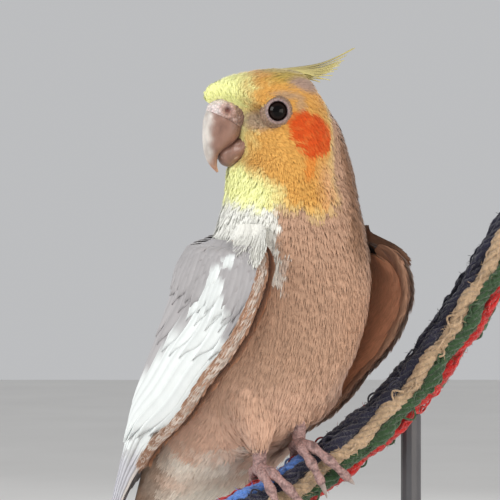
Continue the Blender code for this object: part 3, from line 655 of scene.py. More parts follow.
def body_markings(points):
    """Colours of the head, neck and body: layers of colour, each laid over those before it."""
    points = np.asarray(points, float)
    ahead, left, up = head_coordinates(points)
    on_side = np.abs(left) > 5.0
    streaked = points * np.array((1.0, 1.0, 0.4))
    ragged = noise(streaked, 2.4) * 1.6 + noise(streaked, 0.9, 3) * 1.0
    x, y, z = points.T
    vent = smooth((150.0 - z + ragged * 3) / 9.0) * smooth((8.0 - x) / 14.0)
    flank = smooth((-20.0 - x + ragged * 2.0) / 7.0) * smooth((170.0 - z) / 16.0)
    nape = smooth((-13.5 - ahead + ragged) / 5.0) * smooth((z - 198.0) / 14.0)
    back = smooth((y + 4.0) / 10.0) * smooth((z - 130.0) / 30.0)
    bib_low = 196.5 + 5.0 * smooth((6.0 - x) / 14.0) - 1.5 * smooth((x - 4.0) / 3.0)
    bib = smooth((10.5 - x + ragged * 1.6) / 2.5) * smooth((z - bib_low + ragged * 2.6) / 4.0)
    bib *= smooth((6.0 - y) / 6.0) * smooth((224.0 - z) / 3.0)
    yellow_low = 12.5 + 2.0 * smooth((ahead - 4.0) / 10.0)
    yellow = smooth((up - yellow_low + ragged) / 4.0) * smooth((ahead + 14.5 + ragged) / 5.0)
    gold_edge = 8.0 + 7.5 * smooth((up - 18.0) / 8.0)
    gold = yellow * smooth((gold_edge - ahead + ragged) / 8.0)
    blush = smooth((-5.0 - ahead) / 7.0) * smooth((31.0 - up) / 10.0)
    crown = smooth((9.0 - ahead + ragged * 2.0) / 6.0) * smooth((up - 46.0) / 4.0)
    flecks = smooth(noise(points, 0.9, 8) * 2.0 - 0.5)
    flecks *= smooth((ahead - 5.0) / 6.0) * smooth((up - 30.0) / 6.0)
    over_eye = blob(ahead, up, (-4.6, 48.4), (5.6, 2.0), 0.5) * (np.abs(left) > 3.5)
    cheek_tail = blob(ahead + (up - 25.0) * 0.18, up, (-4.8, 26.0), (1.7, 4.4), 0.3) * on_side
    cheek = blob(ahead + ragged * 0.6, up + ragged * 0.4, (-5.2, 34.7), (6.5, 6.3), 0.12) * on_side
    low_front = smooth((ahead + 5.0) / 4.0) * smooth((34.0 - up) / 3.0)
    lines = smooth(noise(points * np.array((0.3, 0.3, 1.6)), 1.0, 9) * 2.0 + 0.1)
    streaks = 1.0 - 0.75 * low_front * lines - 0.12 * smooth(noise(points, 1.2, 10) * 2.0)
    layers = (
        # painted warm light: the lower body on the side facing the warm fill lamp is tinted warmer and paler
        (FAWN_WARM_LIGHT, smooth((x - 22.0) / 20.0) * smooth((208.0 - z) / 30.0)),
        (BELLY, smooth((178.0 - z + ragged * 3) / 24.0) * 0.8),
        (VENT, vent * smooth(0.8 + 0.5 * noise(points, 7.0, 5))),
        (NAPE, flank * 0.7),
        (NAPE, np.maximum(nape, back * 0.8)),
        (BIB, bib),
        (LEMON, yellow),
        (GOLD, gold),
        (BLUSH, gold * blush * 0.8),
        (CROWN, yellow * crown * 0.85),
        (LEMON, yellow * flecks * 0.6),
        (LILAC, over_eye * 0.9),
        (LORES, blob(ahead, up, (8.0, 37.6), (4.2, 2.6), 0.5) * 0.8),
        (LORES, blob(ahead, up, (1.8, 44.6), (4.2, 1.0), 0.6) * 0.6),
        (LORES, blob(ahead, up, (-2.2, 42.4), (1.4, 2.2), 0.6) * 0.5),
        (CHEEK_TAIL, cheek_tail),
        (CHEEK, cheek * streaks))
    colours = np.tile(FAWN, (len(points), 1))
    for tone, mask in layers:
        colours = toward(colours, tone, mask)
    return colours


# Upper and lower edges of the wing's white patch: stations, and shares of the wing's breadth
WHITE_UPPER = ((1.4, 2.0, 3.2, 3.8, 4.3, 4.8, 5.4), (0.34, 0.38, 0.40, 0.43, 0.48, 0.54, 0.60))
WHITE_LOWER = ((1.4, 1.7, 1.9, 2.2, 2.4, 2.9, 3.3), (0.34, 0.28, 0.24, 0.20, 0.12, 0.03, -0.1))


def wing_marking(station, across):
    """Colours at places of the wing; arrays of station and across."""
    white = smooth((np.interp(station, *WHITE_UPPER) - across) / 0.02)
    white *= smooth((across - np.interp(station, *WHITE_LOWER)) / 0.02)
    white *= smooth((station - 1.42) / 0.12) * smooth((6.1 + 1.6 * across - station) / 0.25)
    spot = blob(station, across, (1.45, 0.25), (0.13, 0.045), 0.3)
    cream = smooth((0.10 - across) / 0.05) * smooth((station - 6.0) / 0.4)
    layers = (
        (WING_PALE, smooth((station - 5.9 - 1.6 * across) / 0.4)),
        (WING_WHITE, np.maximum(white, spot)),
        (WING_CREAM, cream * 0.8),
        # brown line along the leading edge: partly the feathers' brown edge, partly painted shadow of the
        # body
        (WING_BROWN_AND_SHADOW, smooth((0.035 - across) / 0.02) * smooth((6.4 - station) / 0.5)))
    colours = np.tile(WING_GREY, (len(station), 1))
    for tone, mask in layers:
        colours = toward(colours, tone, mask)
    return colours


# Skin and coat

FLESH = ("head", "neck", "torso", "leg_left", "leg_right")
SEAM_FILL = 0.45
SKIN_VOXEL = 0.8
BARE_SHANK = 6.5
PATCH = 0.003
COAT_PIECE_FACES = 180000
SOFT_SHARE = 0.88


def coat_depth(points):
    """How far the skin lies under the outline of the feathers."""
    _, _, up = head_coordinates(points)
    return 1.5 - 0.8 * smooth((up - 16.0) / 12.0)


def make_skin():
    """One skin from the outline of all the flesh nodes, lying inside them by the coat's depth."""
    verts, faces = node_mesh(FLESH, SEAM_FILL)
    skin = mesh_piece("skin", [tuple(v / MM) for v in verts], faces)
    remesh = skin.modifiers.new("one_skin", "REMESH")
    remesh.mode = "VOXEL"
    remesh.voxel_size = SKIN_VOXEL * MM
    relax = skin.modifiers.new("relax", "SMOOTH")
    relax.factor = 0.5
    relax.iterations = 6
    bpy.context.view_layer.update()
    mesh = bpy.data.meshes.new_from_object(skin.evaluated_get(bpy.context.evaluated_depsgraph_get()))
    skin.modifiers.clear()
    skin.data = mesh
    places = values_of(mesh.vertices, "co", 3) / MM
    places -= values_of(mesh.vertices, "normal", 3) * (SEAM_FILL + coat_depth(places))[:, None]
    mesh.vertices.foreach_set("co", (places * MM).ravel())
    mesh.update()
    mark(mesh, body_markings(places))
    mesh.materials.clear()
    mesh.materials.append(skin_material())
    mesh.shade_smooth()
    return placed(skin, "body_feathers", *FLESH)


def trunk_tables():
    """Middles and tailward ways at close steps along the trunk."""
    frames = [trunk_frame(station) for station in np.arange(0.0, LAST_STATION + 0.01, 0.1)]
    return np.array([f[0] for f in frames]), np.array([f[1] for f in frames])


TRUNK_MIDDLES, TRUNK_WAYS = trunk_tables()


def nearest_station(points):
    """Which step of the trunk tables lies nearest to each point."""
    away = points[:, None, :] - TRUNK_MIDDLES[None]
    return np.argmin((away ** 2).sum(2), axis=1)


def unit(vectors):
    return vectors / np.maximum(np.linalg.norm(vectors, axis=1, keepdims=True), 1e-9)


def lie_of_coat(points, normals):
    """Direction in which the feathers lie, along the surface at each point."""
    ahead, _, up = head_coordinates(points)
    trunk = TRUNK_WAYS[nearest_station(points)]
    root = np.array(head_point(BILL_ROOT[0], 0.0, BILL_ROOT[1]))
    away = unit(points - root)
    fall = smooth((6.0 - ahead) / 22.0)[:, None] * smooth((52.0 - up) / 12.0)[:, None]
    face = unit(away * (1.0 - 0.8 * fall) + np.array((0.0, 0.0, -0.8)) * fall)
    head_share = smooth((up - 16.0) / 16.0)[:, None]
    flow = face * head_share + trunk * (1.0 - head_share)
    for name, side in (("left", 1), ("right", -1)):
        middle, _, _, top = rope_frame(FOOT_PLACES[name])
        foot = np.array(middle + top * 10.0)
        knee = np.array(knee_point(side))
        run = foot - knee
        share = np.clip(((points - knee) @ run) / (run @ run), 0.0, 1.0)
        gap = np.linalg.norm(points - knee - share[:, None] * run, axis=1)
        near = (smooth((13.0 - gap) / 5.0) * smooth((168.0 - points[:, 2]) / 14.0))[:, None]
        flow = flow * (1.0 - near) + unit(foot - points) * near
    flow -= normals * (flow * normals).sum(1, keepdims=True)
    return unit(flow)


def coat_sizes(points):
    """Length of a feather and the space between roots: smallest round the bill, eyes and feet."""
    ahead, _, up = head_coordinates(points)
    length = 6.4 - 3.4 * smooth((up - 8.0) / 18.0) + 1.6 * smooth((172.0 - points[:, 2]) / 24.0)
    face = smooth((up - 18.0) / 8.0) * smooth((ahead - 2.0) / 9.0)
    length = length * (1.0 - 0.42 * face)
    eye_gap = np.hypot(ahead - EYE_PLACE[0], up - EYE_PLACE[2])
    length = length * (0.42 + 0.58 * smooth((eye_gap - 3.4) / 4.0))
    spacing = 0.20 + length * 0.112
    return length, spacing


def scatter_roots(skin, covers, seed):
    """Seeded roots over the skin, denser where the feathers are small, none under the wings."""
    random = np.random.default_rng(seed)
    mesh = skin.data
    mesh.calc_loop_triangles()
    places = values_of(mesh.vertices, "co", 3) / MM
    normals = values_of(mesh.vertices, "normal", 3)
    corners = values_of(mesh.loop_triangles, "vertices", 3, np.int32)
    a, b, c = (places[corners[:, k]] for k in range(3))
    areas = np.linalg.norm(np.cross(b - a, c - a), axis=1) / 2.0
    middles = (a + b + c) / 3.0
    _, spacing = coat_sizes(middles)
    wanted = areas / spacing ** 2
    picks = random.choice(len(wanted), int(wanted.sum()), p=wanted / wanted.sum())
    s, t = random.random((2, len(picks)))
    flip = s + t > 1.0
    s[flip], t[flip] = 1.0 - s[flip], 1.0 - t[flip]
    points = a[picks] + (b - a)[picks] * s[:, None] + (c - a)[picks] * t[:, None]
    ways = unit(normals[corners[picks]].mean(1))
    keep = bare_places(points)
    keep &= np.array([not covered(p, w, covers) for p, w in zip(points, ways)])
    points, ways = points[keep], ways[keep]
    order = np.argsort(-points[:, 2])
    return points[order], ways[order], random


def covered(point, way, covers):
    """True where one of the covers lies close over a point of the skin."""
    start = Vector(point) * MM
    direction = Vector(way)
    return any(tree.ray_cast(start, direction, reach * MM)[0] is not None for tree, reach in covers)


def bare_places(points):
    """True where feathers may grow: not on the eyes or the shanks."""
    ahead, _, up = head_coordinates(points)
    eye_gap = np.hypot(ahead - EYE_PLACE[0] - 0.3, up - EYE_PLACE[2])
    keep = (eye_gap > EYE_RADIUS + 0.5 * smooth((ahead - 4.0) / 3.0)) | (up < 30.0)
    for place in FOOT_PLACES.values():
        middle, _, _, top = rope_frame(place)
        hub = np.array(middle + top * ROPE_RADIUS)
        keep &= np.linalg.norm(points - hub, axis=1) > BARE_SHANK
    return keep


def node_tree(*names):
    """A search tree over CAD nodes, in metres."""
    return BVHTree.FromPolygons(*node_mesh(names))


def unwrap(points):
    """Place on the skin's own unwrap: angle round the trunk's axis, and distance along it."""
    index = nearest_station(points)
    away = points - TRUNK_MIDDLES[index]
    angle = np.arctan2(dots(away, LEFT), dots(away, FORWARD)) / (2.0 * math.pi) + 0.5
    above = np.where(index == 0, (points[:, 2] - TRUNK_MIDDLES[0][2]) / 45.0, 0.0)
    along = 0.62 - 0.58 * index / (len(TRUNK_MIDDLES) - 1) + 0.34 * np.clip(above, 0.0, 1.0)
    return np.stack((0.02 + 0.95 * angle, along), axis=1)


def spines(tree, roots, ways, length):
    """Three points and normals for each tuft, walked along the skin with the lie of the coat."""
    points = [roots]
    normals = [ways]
    for _ in range(2):
        step = lie_of_coat(points[-1], normals[-1]) * (length / 2.0)[:, None]
        found = [tree.find_nearest(Vector(p) * MM) for p in points[-1] + step]
        points.append(np.array([f[0] for f in found]) / MM)
        normals.append(np.array([f[1] for f in found]))
    return points, normals


def blade_faces(blades, segments):
    """Triangles of blades whose points come in pairs up to a single one at the tip."""
    per_blade = 2 * segments + 1
    last = per_blade - 3
    triangles = []
    for a in range(0, last, 2):
        triangles += [(a, a + 3, a + 1), (a, a + 2, a + 3)]
    triangles.append((last, last + 2, last + 1))
    starts = np.arange(blades) * per_blade
    return (starts[:, None, None] + np.array(triangles)[None]).reshape(-1, 3)


def tuft_arrays(walk, random, lobes, segments, lift, tones=None):
    """Points, colours, patch places, triangles and soft normals of many tufts.

    Each tuft is a fan of fine blades that follows three points of the skin.
    """
    p, n = walk
    roots = p[0]
    count = len(roots)
    length = np.linalg.norm(p[2] - p[0], axis=1)
    width = length * random.uniform(0.42, 0.58, count)
    ahead, _, up = head_coordinates(roots)
    puff = 0.7 * smooth((ahead - 8.0) / 9.0) * smooth((up - 39.0) / 7.0)
    depth = coat_depth(roots) * random.uniform(0.75, 1.1, count) + puff
    blade = np.linspace(-1.0, 1.0, lobes)
    reach = 1.0 - 0.30 * blade ** 2 + random.uniform(-0.24, 0.06, (count, lobes))
    sway = random.uniform(-0.09, 0.09, (count, lobes))
    rows = []
    for k in range(segments + 1):
        share = k / segments
        t = share * reach
        t3 = t[..., None]
        spine = p[0][:, None] * ((1 - t3) * (1 - 2 * t3)) + p[1][:, None] * (4 * t3 * (1 - t3))
        spine = spine + p[2][:, None] * (t3 * (2 * t3 - 1))
        normal = n[0][:, None] * (1 - t3) + n[2][:, None] * t3
        run = (p[2] - p[0])[:, None] * np.ones((1, lobes, 1))
        across = np.cross(normal, run)
        across /= np.maximum(np.linalg.norm(across, axis=2, keepdims=True), 1e-9)
        place = blade * (0.22 + 0.30 * t ** 0.8) + sway * t
        half = 0.64 / lobes * (0.7 + 0.5 * math.sin(math.pi * min(share * 1.15, 1.0)))
        rise = depth[:, None] * t ** 0.75 + lift * t ** 2 * random.uniform(0.0, 1.0, (count, lobes))
        rise = rise - (place ** 2) * width[:, None] * 0.30
        middle = spine + normal * rise[..., None] + across * (place * width[:, None])[..., None]
        if k < segments:
            edge = across * (half * width)[:, None, None]
            rows += [(middle - edge, share), (middle + edge, share)]
        else:
            rows.append((middle, 1.0))
    verts = np.stack([row[0] for row in rows], axis=2)
    tone = (body_markings(roots) if tones is None else tones) * random.uniform(0.93, 1.07, count)[:, None]
    # each blade runs from darker at the root to paler at the tip: painted shade where roots lie under other
    # tufts
    shade = np.array([0.93 + 0.09 * row[1] for row in rows])
    streak = random.uniform(0.90, 1.08, (count, lobes))
    colours = tone[:, None, None] * shade[None, None, :, None] * streak[:, :, None, None]
    home = unwrap(roots)
    patch_u = home[:, 0, None, None] + (blade / 2.0)[None, :, None] * PATCH * np.ones((1, 1, len(rows)))
    patch_v = home[:, 1, None, None] + np.array([row[1] for row in rows])[None, None] * PATCH
    patch_u, patch_v = np.broadcast_arrays(patch_u, patch_v)
    soft = np.broadcast_to(n[0][:, None, None] * 0.4 + n[1][:, None, None] * 0.6, verts.shape)
    return (
        verts.reshape(-1, 3),
        colours.reshape(-1, 3),
        np.stack((patch_u.reshape(-1), patch_v.reshape(-1)), axis=1),
        blade_faces(count * lobes, segments),
        unit(soft.reshape(-1, 3)))


def tuft_piece(name, slot, material, walk, random, shape, tones=None):
    """Tufts as one piece, shaded mostly as the body under them is, which looks like fine plumage.

    The shape is the blades of a tuft, the segments of a blade and how far the tips stand up.
    """
    verts, colours, patches, faces, soft = tuft_arrays(walk, random, *shape, tones)
    piece = mesh_piece(name, verts, faces, colours, material, {"OFBake": patches})
    own = values_of(piece.data.vertices, "normal", 3)
    mixed = unit(own * (1.0 - SOFT_SHARE) + soft * SOFT_SHARE)
    piece.data.normals_split_custom_set_from_vertices(mixed.tolist())
    placed(piece, slot)


# Solids that hide the skin under them, and how far over the skin they still count as close
COVERS = ((("wing_left", "wing_right"), 14.0), (("bill_upper", "bill_lower", "cere"), 5.0), (("tail",), 8.0))

# Layers of the coat from the crown down: name, least height in the head's frame, tuft shape, slot
COAT_LAYERS = (
    ("coat_head", 21.0, (3, 2, 0.12), "face_feathers"),
    ("coat_neck", 2.0, (5, 3, 0.10), "body_feathers"),
    ("coat_body", -math.inf, (7, 3, 0.20), "body_feathers"))


def make_coat(skin, material):
    """Small feathers over the whole skin, in pieces from the crown down."""
    covers = [(node_tree(*names), reach) for names, reach in COVERS]
    roots, ways, random = scatter_roots(skin, covers, SEED)
    tree = BVHTree.FromObject(skin, bpy.context.evaluated_depsgraph_get())
    _, _, up = head_coordinates(roots)
    ceiling = math.inf
    for name, least, shape, slot in COAT_LAYERS:
        index = np.flatnonzero((up > least) & (up <= ceiling))
        ceiling = least
        per_tuft = shape[0] * (2 * shape[1] - 1)
        pieces = max(1, math.ceil(len(index) * per_tuft / COAT_PIECE_FACES))
        for number, part in enumerate(np.array_split(index, pieces), 1):
            length, _ = coat_sizes(roots[part])
            walk = spines(tree, roots[part], ways[part], length * random.uniform(0.8, 1.15, len(part)))
            tuft_piece(name + "_" + str(number), slot, material, walk, random, shape)


# Wings

WING_TABLE_STEP = 0.06
WING_TABLE_STATIONS = np.arange(0.5, 11.61, WING_TABLE_STEP)
WING_TABLE_ACROSS = np.linspace(0.0, 1.0, 49)


def wing_table():
    """Middle, back, distance, height, their lift directions and breadth over the wing."""
    rows = []
    for station in WING_TABLE_STATIONS:
        middle, _, back = trunk_frame(station)
        corners = wing_section(station)
        places = [catmull(corners, a * 3) for a in WING_TABLE_ACROSS]
        section = np.array(places)
        run = np.gradient(section, axis=0)
        run /= np.linalg.norm(run, axis=1, keepdims=True)
        row = np.concatenate((section, np.stack((run[:, 1], -run[:, 0]), axis=1)), axis=1)
        rows.append((np.array(middle), np.array(back), row, wing_breadth(station)))
    return [np.array(column) for column in zip(*rows)]


WING_MIDDLES, WING_BACKS, WING_ROWS, WING_BREADTHS = wing_table()


def wing_surface(station, across, lift, side):
    """Points of the folded wing for arrays of station, across and lift."""
    place = (station - WING_TABLE_STATIONS[0]) / WING_TABLE_STEP
    place = np.clip(place, 0.0, len(WING_TABLE_STATIONS) - 1.001)
    low = place.astype(int)
    s = (place - low)[..., None]
    reach = np.clip(across, 0.0, 1.0) * (len(WING_TABLE_ACROSS) - 1.001)
    near = reach.astype(int)
    t = (reach - near)[..., None]
    row = (WING_ROWS[low, near] * (1 - s) + WING_ROWS[low + 1, near] * s) * (1 - t)
    row = row + (WING_ROWS[low, near + 1] * (1 - s) + WING_ROWS[low + 1, near + 1] * s) * t
    middle = WING_MIDDLES[low] * (1 - s) + WING_MIDDLES[low + 1] * s
    back = WING_BACKS[low] * (1 - s) + WING_BACKS[low + 1] * s
    lateral = row[..., 0] + row[..., 2] * lift
    height = row[..., 1] + row[..., 3] * lift
    return middle + np.array(LEFT) * side * lateral[..., None] + back * height[..., None]


def breadth_at(station):
    """The wing's breadth at stations, from its table."""
    return np.interp(station, WING_TABLE_STATIONS, WING_BREADTHS)


def vane_outline(share):
    """Width of a feather along its length, as a share of its full width."""
    grown = np.minimum(1.0, 0.5 + 3.0 * share)
    return np.maximum(grown * (1.0 - np.maximum(0.0, (share - 0.62) / 0.38) ** 2.2), 0.05)


class Feathers:
    """Thin closed vanes collected into one mesh."""

    def __init__(self):
        self.verts = []
        self.faces = []
        self.colours = []
        self.vane_places = []
        self.patches = []
        self.count = 0

    def add(self, top, under, colours, home):
        """One vane from its upper and lower grids of points, rows along it and columns across."""
        rows, columns, _ = top.shape
        size = rows * columns
        self.verts.append(np.concatenate((top.reshape(-1, 3), under.reshape(-1, 3))))
        full = np.broadcast_to(colours, top.shape).reshape(-1, 3)
        # the lower side of each vane is 8% darker than the upper: painted shade
        self.colours.append(np.concatenate((full, full * 0.92)))
        along, across = np.meshgrid(np.linspace(0, 1, rows), np.linspace(0, 1, columns), indexing="ij")
        place = np.stack((across.ravel(), along.ravel()), axis=1)
        self.vane_places.append(np.concatenate((place, place)))
        patch = np.array(home) + (place - 0.5) * PATCH
        self.patches.append(np.concatenate((patch, patch)))
        faces = []
        for i in range(rows - 1):
            for j in range(columns - 1):
                a = i * columns + j
                faces.append((a, a + 1, a + columns + 1, a + columns))
                b = size + a
                faces.append((b, b + columns, b + columns + 1, b + 1))
        rim = list(range(columns))
        rim += [i * columns + columns - 1 for i in range(1, rows)]
        rim += [(rows - 1) * columns + j for j in range(columns - 2, -1, -1)]
        rim += [i * columns for i in range(rows - 2, 0, -1)]
        for a, b in zip(rim, rim[1:] + rim[:1]):
            faces.append((b, a, size + a, size + b))
        self.faces += [tuple(self.count + v for v in face) for face in faces]
        self.count += 2 * size

    def build(self, name, material):
        """The collected vanes as one piece."""
        uvs = {"OFBake": np.concatenate(self.patches), "Vane": np.concatenate(self.vane_places)}
        verts = np.concatenate(self.verts)
        return mesh_piece(name, verts, self.faces, np.concatenate(self.colours), material, uvs)


# Tiers of the wing from the lowest up: start, tips, first edge, step, width and depth, for the
# primaries, secondaries, greater and median coverts and the longest lesser coverts
WING_TIERS = (
    (3.2, (10.95, 11.15, 11.2, 11.0, 10.7, 10.3, 9.8, 9.3, 8.8), 0.0, 0.052, 9.0, 1.3),
    (3.2, (8.3, 8.2, 8.05, 7.9, 7.75, 7.6, 7.4, 7.2, 7.0), 0.44, 0.060, 11.0, 1.1),
    (2.1, (5.4, 5.7, 5.95, 6.15, 6.3, 6.35, 6.3, 6.2, 6.0, 5.8, 5.5, 5.2), 0.02, 0.074, 8.4, 0.4),
    (1.5, (3.1, 3.3, 3.45, 3.6, 3.7, 3.75, 3.75, 3.7, 3.6, 3.5, 3.4), 0.04, 0.080, 8.4, -0.2),
    (1.1, (2.55, 2.6, 2.7, 2.75, 2.8, 2.8, 2.8, 2.75, 2.7, 2.65, 2.6, 2.55), 0.02, 0.078, 7.6, -0.7),
)

# Rows of small coverts over the wing's front: station of the tips, and length in stations
LESSER_ROWS = (
    (2.35, 0.80), (2.15, 0.75), (1.95, 0.70), (1.78, 0.62), (1.62, 0.52), (1.48, 0.40), (1.36, 0.30))
LESSER_COUNT = 18
LESSER_STEP = 0.058
LESSER_WIDTH = 6.4
SLOPE = 0.3
WING_VANE = 0.2
LONG_VANE = (16, 7)
SHORT_VANE = (8, 5)
LINING_STATIONS = np.linspace(1.3, 6.6, 34)
LINING_ACROSS = np.linspace(0.0, 1.0, 30)
LINING_TOP = -2.9
LINING_UNDER = -3.7


def tuck(station):
    """How much deeper the wing's inner side lies at the shoulder."""
    return 4.5 * (1.0 - smooth((station - 1.0) / 0.7))


def wing_pair(stations, across, high, low, side):
    """Upper and lower grids of points on the wing, turned so that both wings face outward."""
    top = wing_surface(stations, across, high, side)
    under = wing_surface(stations, across, low, side)
    if side < 0:
        return top[:, ::-1], under[:, ::-1]
    return top, under


def wing_vane(feathers, random, side, start, tip, edge, step, width, depth, grid):
    """One feather of the folded wing; those nearer the back lie over those nearer the edge."""
    rows, columns = grid
    share = np.linspace(0.0, 1.0, rows)
    station = start + (tip - start) * share
    full = width / breadth_at(station)
    wide = full * vane_outline(share)
    centre = edge + full / 2.0
    u = np.linspace(-0.5, 0.5, columns)
    across = centre[:, None] + wide[:, None] * u[None]
    tip_point = 0.16 * (1.0 - (2.0 * u) ** 2)[None] * (share ** 6)[:, None]
    stations = station[:, None] + tip_point * (width / STATION_STEP) + np.zeros_like(across)
    slope = (across - edge) / step * SLOPE - 0.25 * np.cos(2.0 * math.pi * u)[None]
    rise = smooth(share / 0.22)[:, None]
    droop = 0.3 * share[:, None] ** 4
    lift = -(depth + slope + droop) * rise - 3.0 * (1.0 - rise) + random.uniform(-0.05, 0.05)
    shown = np.clip(across, 0.0, 1.0)
    over = np.maximum(across - shown, 0.0) * breadth_at(stations)
    top, under = wing_pair(stations, shown, lift - over, lift - over - WING_VANE, side)
    middle = np.full(rows, edge + 0.5 * step + random.uniform(-0.012, 0.012))
    colours = wing_marking(station + random.uniform(-0.06, 0.06), middle)
    colours = colours * random.uniform(0.95, 1.04)
    blend = np.abs(2.0 * u)[None, :, None] ** 3 * 0.06 + 1.0
    shaft = 1.0 - 0.16 * (np.abs(u) < 0.02)[None, :, None] * (np.asarray(share)[:, None, None] > 0.1)
    colours = colours[:, None] * blend * shaft
    home = (0.5 + side * (0.06 + 0.36 * edge), 0.60 - 0.045 * tip)
    feathers.add(top, under, colours, home)


def make_wing(name, side, material):
    """The inner lining, then the tiers of long feathers and coverts, and the small coverts last."""
    random = np.random.default_rng(SEED + 3 + side)
    feathers = Feathers()
    stations, across = np.meshgrid(LINING_STATIONS, LINING_ACROSS, indexing="ij")
    drawn_in = tuck(stations)
    top, under = wing_pair(stations, across, LINING_TOP - drawn_in, LINING_UNDER - drawn_in, side)
    # the lining is brown darkened by a fifth: painted shade under the feathers, seen through their gaps
    feathers.add(top, under, WING_BROWN_AND_SHADOW * 0.8, (0.5 + side * 0.25, 0.5))
    for start, tips, first, step, width, depth in WING_TIERS:
        for number, tip in enumerate(tips):
            edge = first + step * number
            wing_vane(feathers, random, side, start, tip, edge, step, width, depth, LONG_VANE)
    for number, (tip, length) in enumerate(LESSER_ROWS):
        depth = -1.0 - 0.1 * number
        for k in range(LESSER_COUNT):
            edge = max(LESSER_STEP * (k - 0.5 * (number % 2)) + random.uniform(-0.008, 0.008), 0.0)
            bow = 0.22 * math.sin(math.pi * k / (LESSER_COUNT - 1))
            end = tip + bow + random.uniform(-0.05, 0.05)
            wing_vane(
                feathers, random, side, end - length, end, edge, LESSER_STEP * 2, LESSER_WIDTH, depth,
                SHORT_VANE)
    piece = feathers.build(name + "_feathers", material)
    return placed(outward(piece), "wing_feathers", name)


# Soft feathers over the wing's front corner and round its leading edge

WALK_SHARES = (0.0, 0.5, 1.0)
SHOULDER_TUFTS = 3200
SHOULDER_LENGTH = 5.0
SHOULDER_SHAPE = (7, 3, 0.3)
MARGIN_TUFTS = 2600
MARGIN_LENGTH = 4.6
MARGIN_FRONT = 0.9
MARGIN_HEIGHT = 2.9
MARGIN_MIDDLE = -1.3
MARGIN_ROOT = -1.4
MARGIN_SHAPE = (7, 3, 0.2)
UNDER_TUFTS = 2400
UNDER_LENGTH = 5.6
UNDER_DEPTH = -3.6


def wing_walk(station, length, point_at):
    """Three points and normals for tufts laid towards the wing's tip.

    point_at gives the point at a station, on the surface for 0 and out from it for 1.
    """
    points = []
    normals = []
    for share in WALK_SHARES:
        place = station + length * share / STATION_STEP
        point = point_at(place, 0.0)
        points.append(point)
        normals.append(unit(point_at(place, 1.0) - point))
    return points, normals


def make_shoulder(name, side, material):
    """Soft feathers of the bib and breast that lie over the wing's front upper corner."""
    random = np.random.default_rng(SEED + 17 + side)
    station = random.uniform(0.75, 1.2, SHOULDER_TUFTS)
    across = random.uniform(0.0, 0.32, SHOULDER_TUFTS)
    border = 1.08 - 1.1 * across + 0.05 * np.sin(across * 40.0)
    keep = station < border + random.uniform(-0.06, 0.06, SHOULDER_TUFTS)
    station, across = station[keep], across[keep]
    length = SHOULDER_LENGTH * random.uniform(0.8, 1.2, len(station))

    def point_at(place, out):
        return wing_surface(place, across, -3.0 + 4.0 * smooth((place - 0.85) / 0.55) + out, side)

    walk = wing_walk(station, length, point_at)
    tuft_piece("coat_" + name, "body_feathers", material, walk, random, SHOULDER_SHAPE)


def margin_place(station, angle, side, grow):
    """A point of the rounded leading edge: angle 0 is its upper side and a half turn its lower."""
    none = 0.0 * station
    inner = wing_surface(station, none + 0.03, none + MARGIN_MIDDLE, side)
    edge = wing_surface(station, none, none + MARGIN_MIDDLE, side)
    above = wing_surface(station, none, none + MARGIN_MIDDLE + 1.0, side)
    thin = 1.0 - 0.75 * smooth((station - 3.8) / 2.6)
    reach = unit(edge - inner) * ((MARGIN_FRONT + grow) * thin * np.sin(angle))[:, None]
    return edge + reach + unit(above - edge) * ((MARGIN_HEIGHT + grow) * thin * np.cos(angle))[:, None]


def make_margin(name, side, material):
    """Soft brown feathers round the wing's leading edge and over the front of its inner side; the brown
    round the edge is partly painted shadow.
    """
    random = np.random.default_rng(SEED + 23 + side)
    station = random.uniform(1.15, 6.0, MARGIN_TUFTS)
    angle = np.radians(random.uniform(5.0, 190.0, MARGIN_TUFTS))
    length = MARGIN_LENGTH * random.uniform(0.8, 1.2, MARGIN_TUFTS)
    cream = 0.8 * smooth((math.radians(26.0) - angle) / 0.3)[:, None]

    def edge_at(place, out):
        return margin_place(place, angle, side, MARGIN_ROOT * (1.0 - out))

    edge_walk = wing_walk(station, length, edge_at)
    station = random.uniform(1.3, 6.0, UNDER_TUFTS)
    across = random.uniform(0.0, 0.42, UNDER_TUFTS)
    length = UNDER_LENGTH * random.uniform(0.8, 1.2, UNDER_TUFTS)

    def under_at(place, out):
        return wing_surface(place, across, UNDER_DEPTH - out - tuck(place), side)

    walks = zip(edge_walk, wing_walk(station, length, under_at))
    walk = [[np.concatenate(pair) for pair in zip(edge, under)] for edge, under in walks]
    # tufts round the edge are cream on top and brown below, the brown partly painted shadow under the edge
    edge_tones = WING_EDGE_BROWN_AND_SHADOW * (1.0 - cream) + WING_CREAM * cream
    tones = np.concatenate((edge_tones, np.tile(WING_LINING, (UNDER_TUFTS, 1))))
    tuft_piece("coat_" + name, "wing_feathers", material, walk, random, MARGIN_SHAPE, tones)


# Tail: length, side at the root, side at the tip, for feathers from the middle out
TAIL_FEATHERS = (
    (152.0, 1.6, 2.2),
    (138.0, 3.4, 5.0),
    (120.0, 4.6, 7.6),
    (103.0, 5.6, 9.8),
    (88.0, 6.4, 11.6),
    (74.0, 7.0, 13.0),
)
TAIL_START = 8.2
TAIL_WIDTH = 11.5
TAIL_LAYER = 0.9
TAIL_HEIGHT = 0.5
TAIL_VANE = 0.4
TAIL_GRID = (22, 7)
TAIL_COVERTS = 11
COVERT_LENGTH = 34.0
COVERT_WIDTH = 8.0


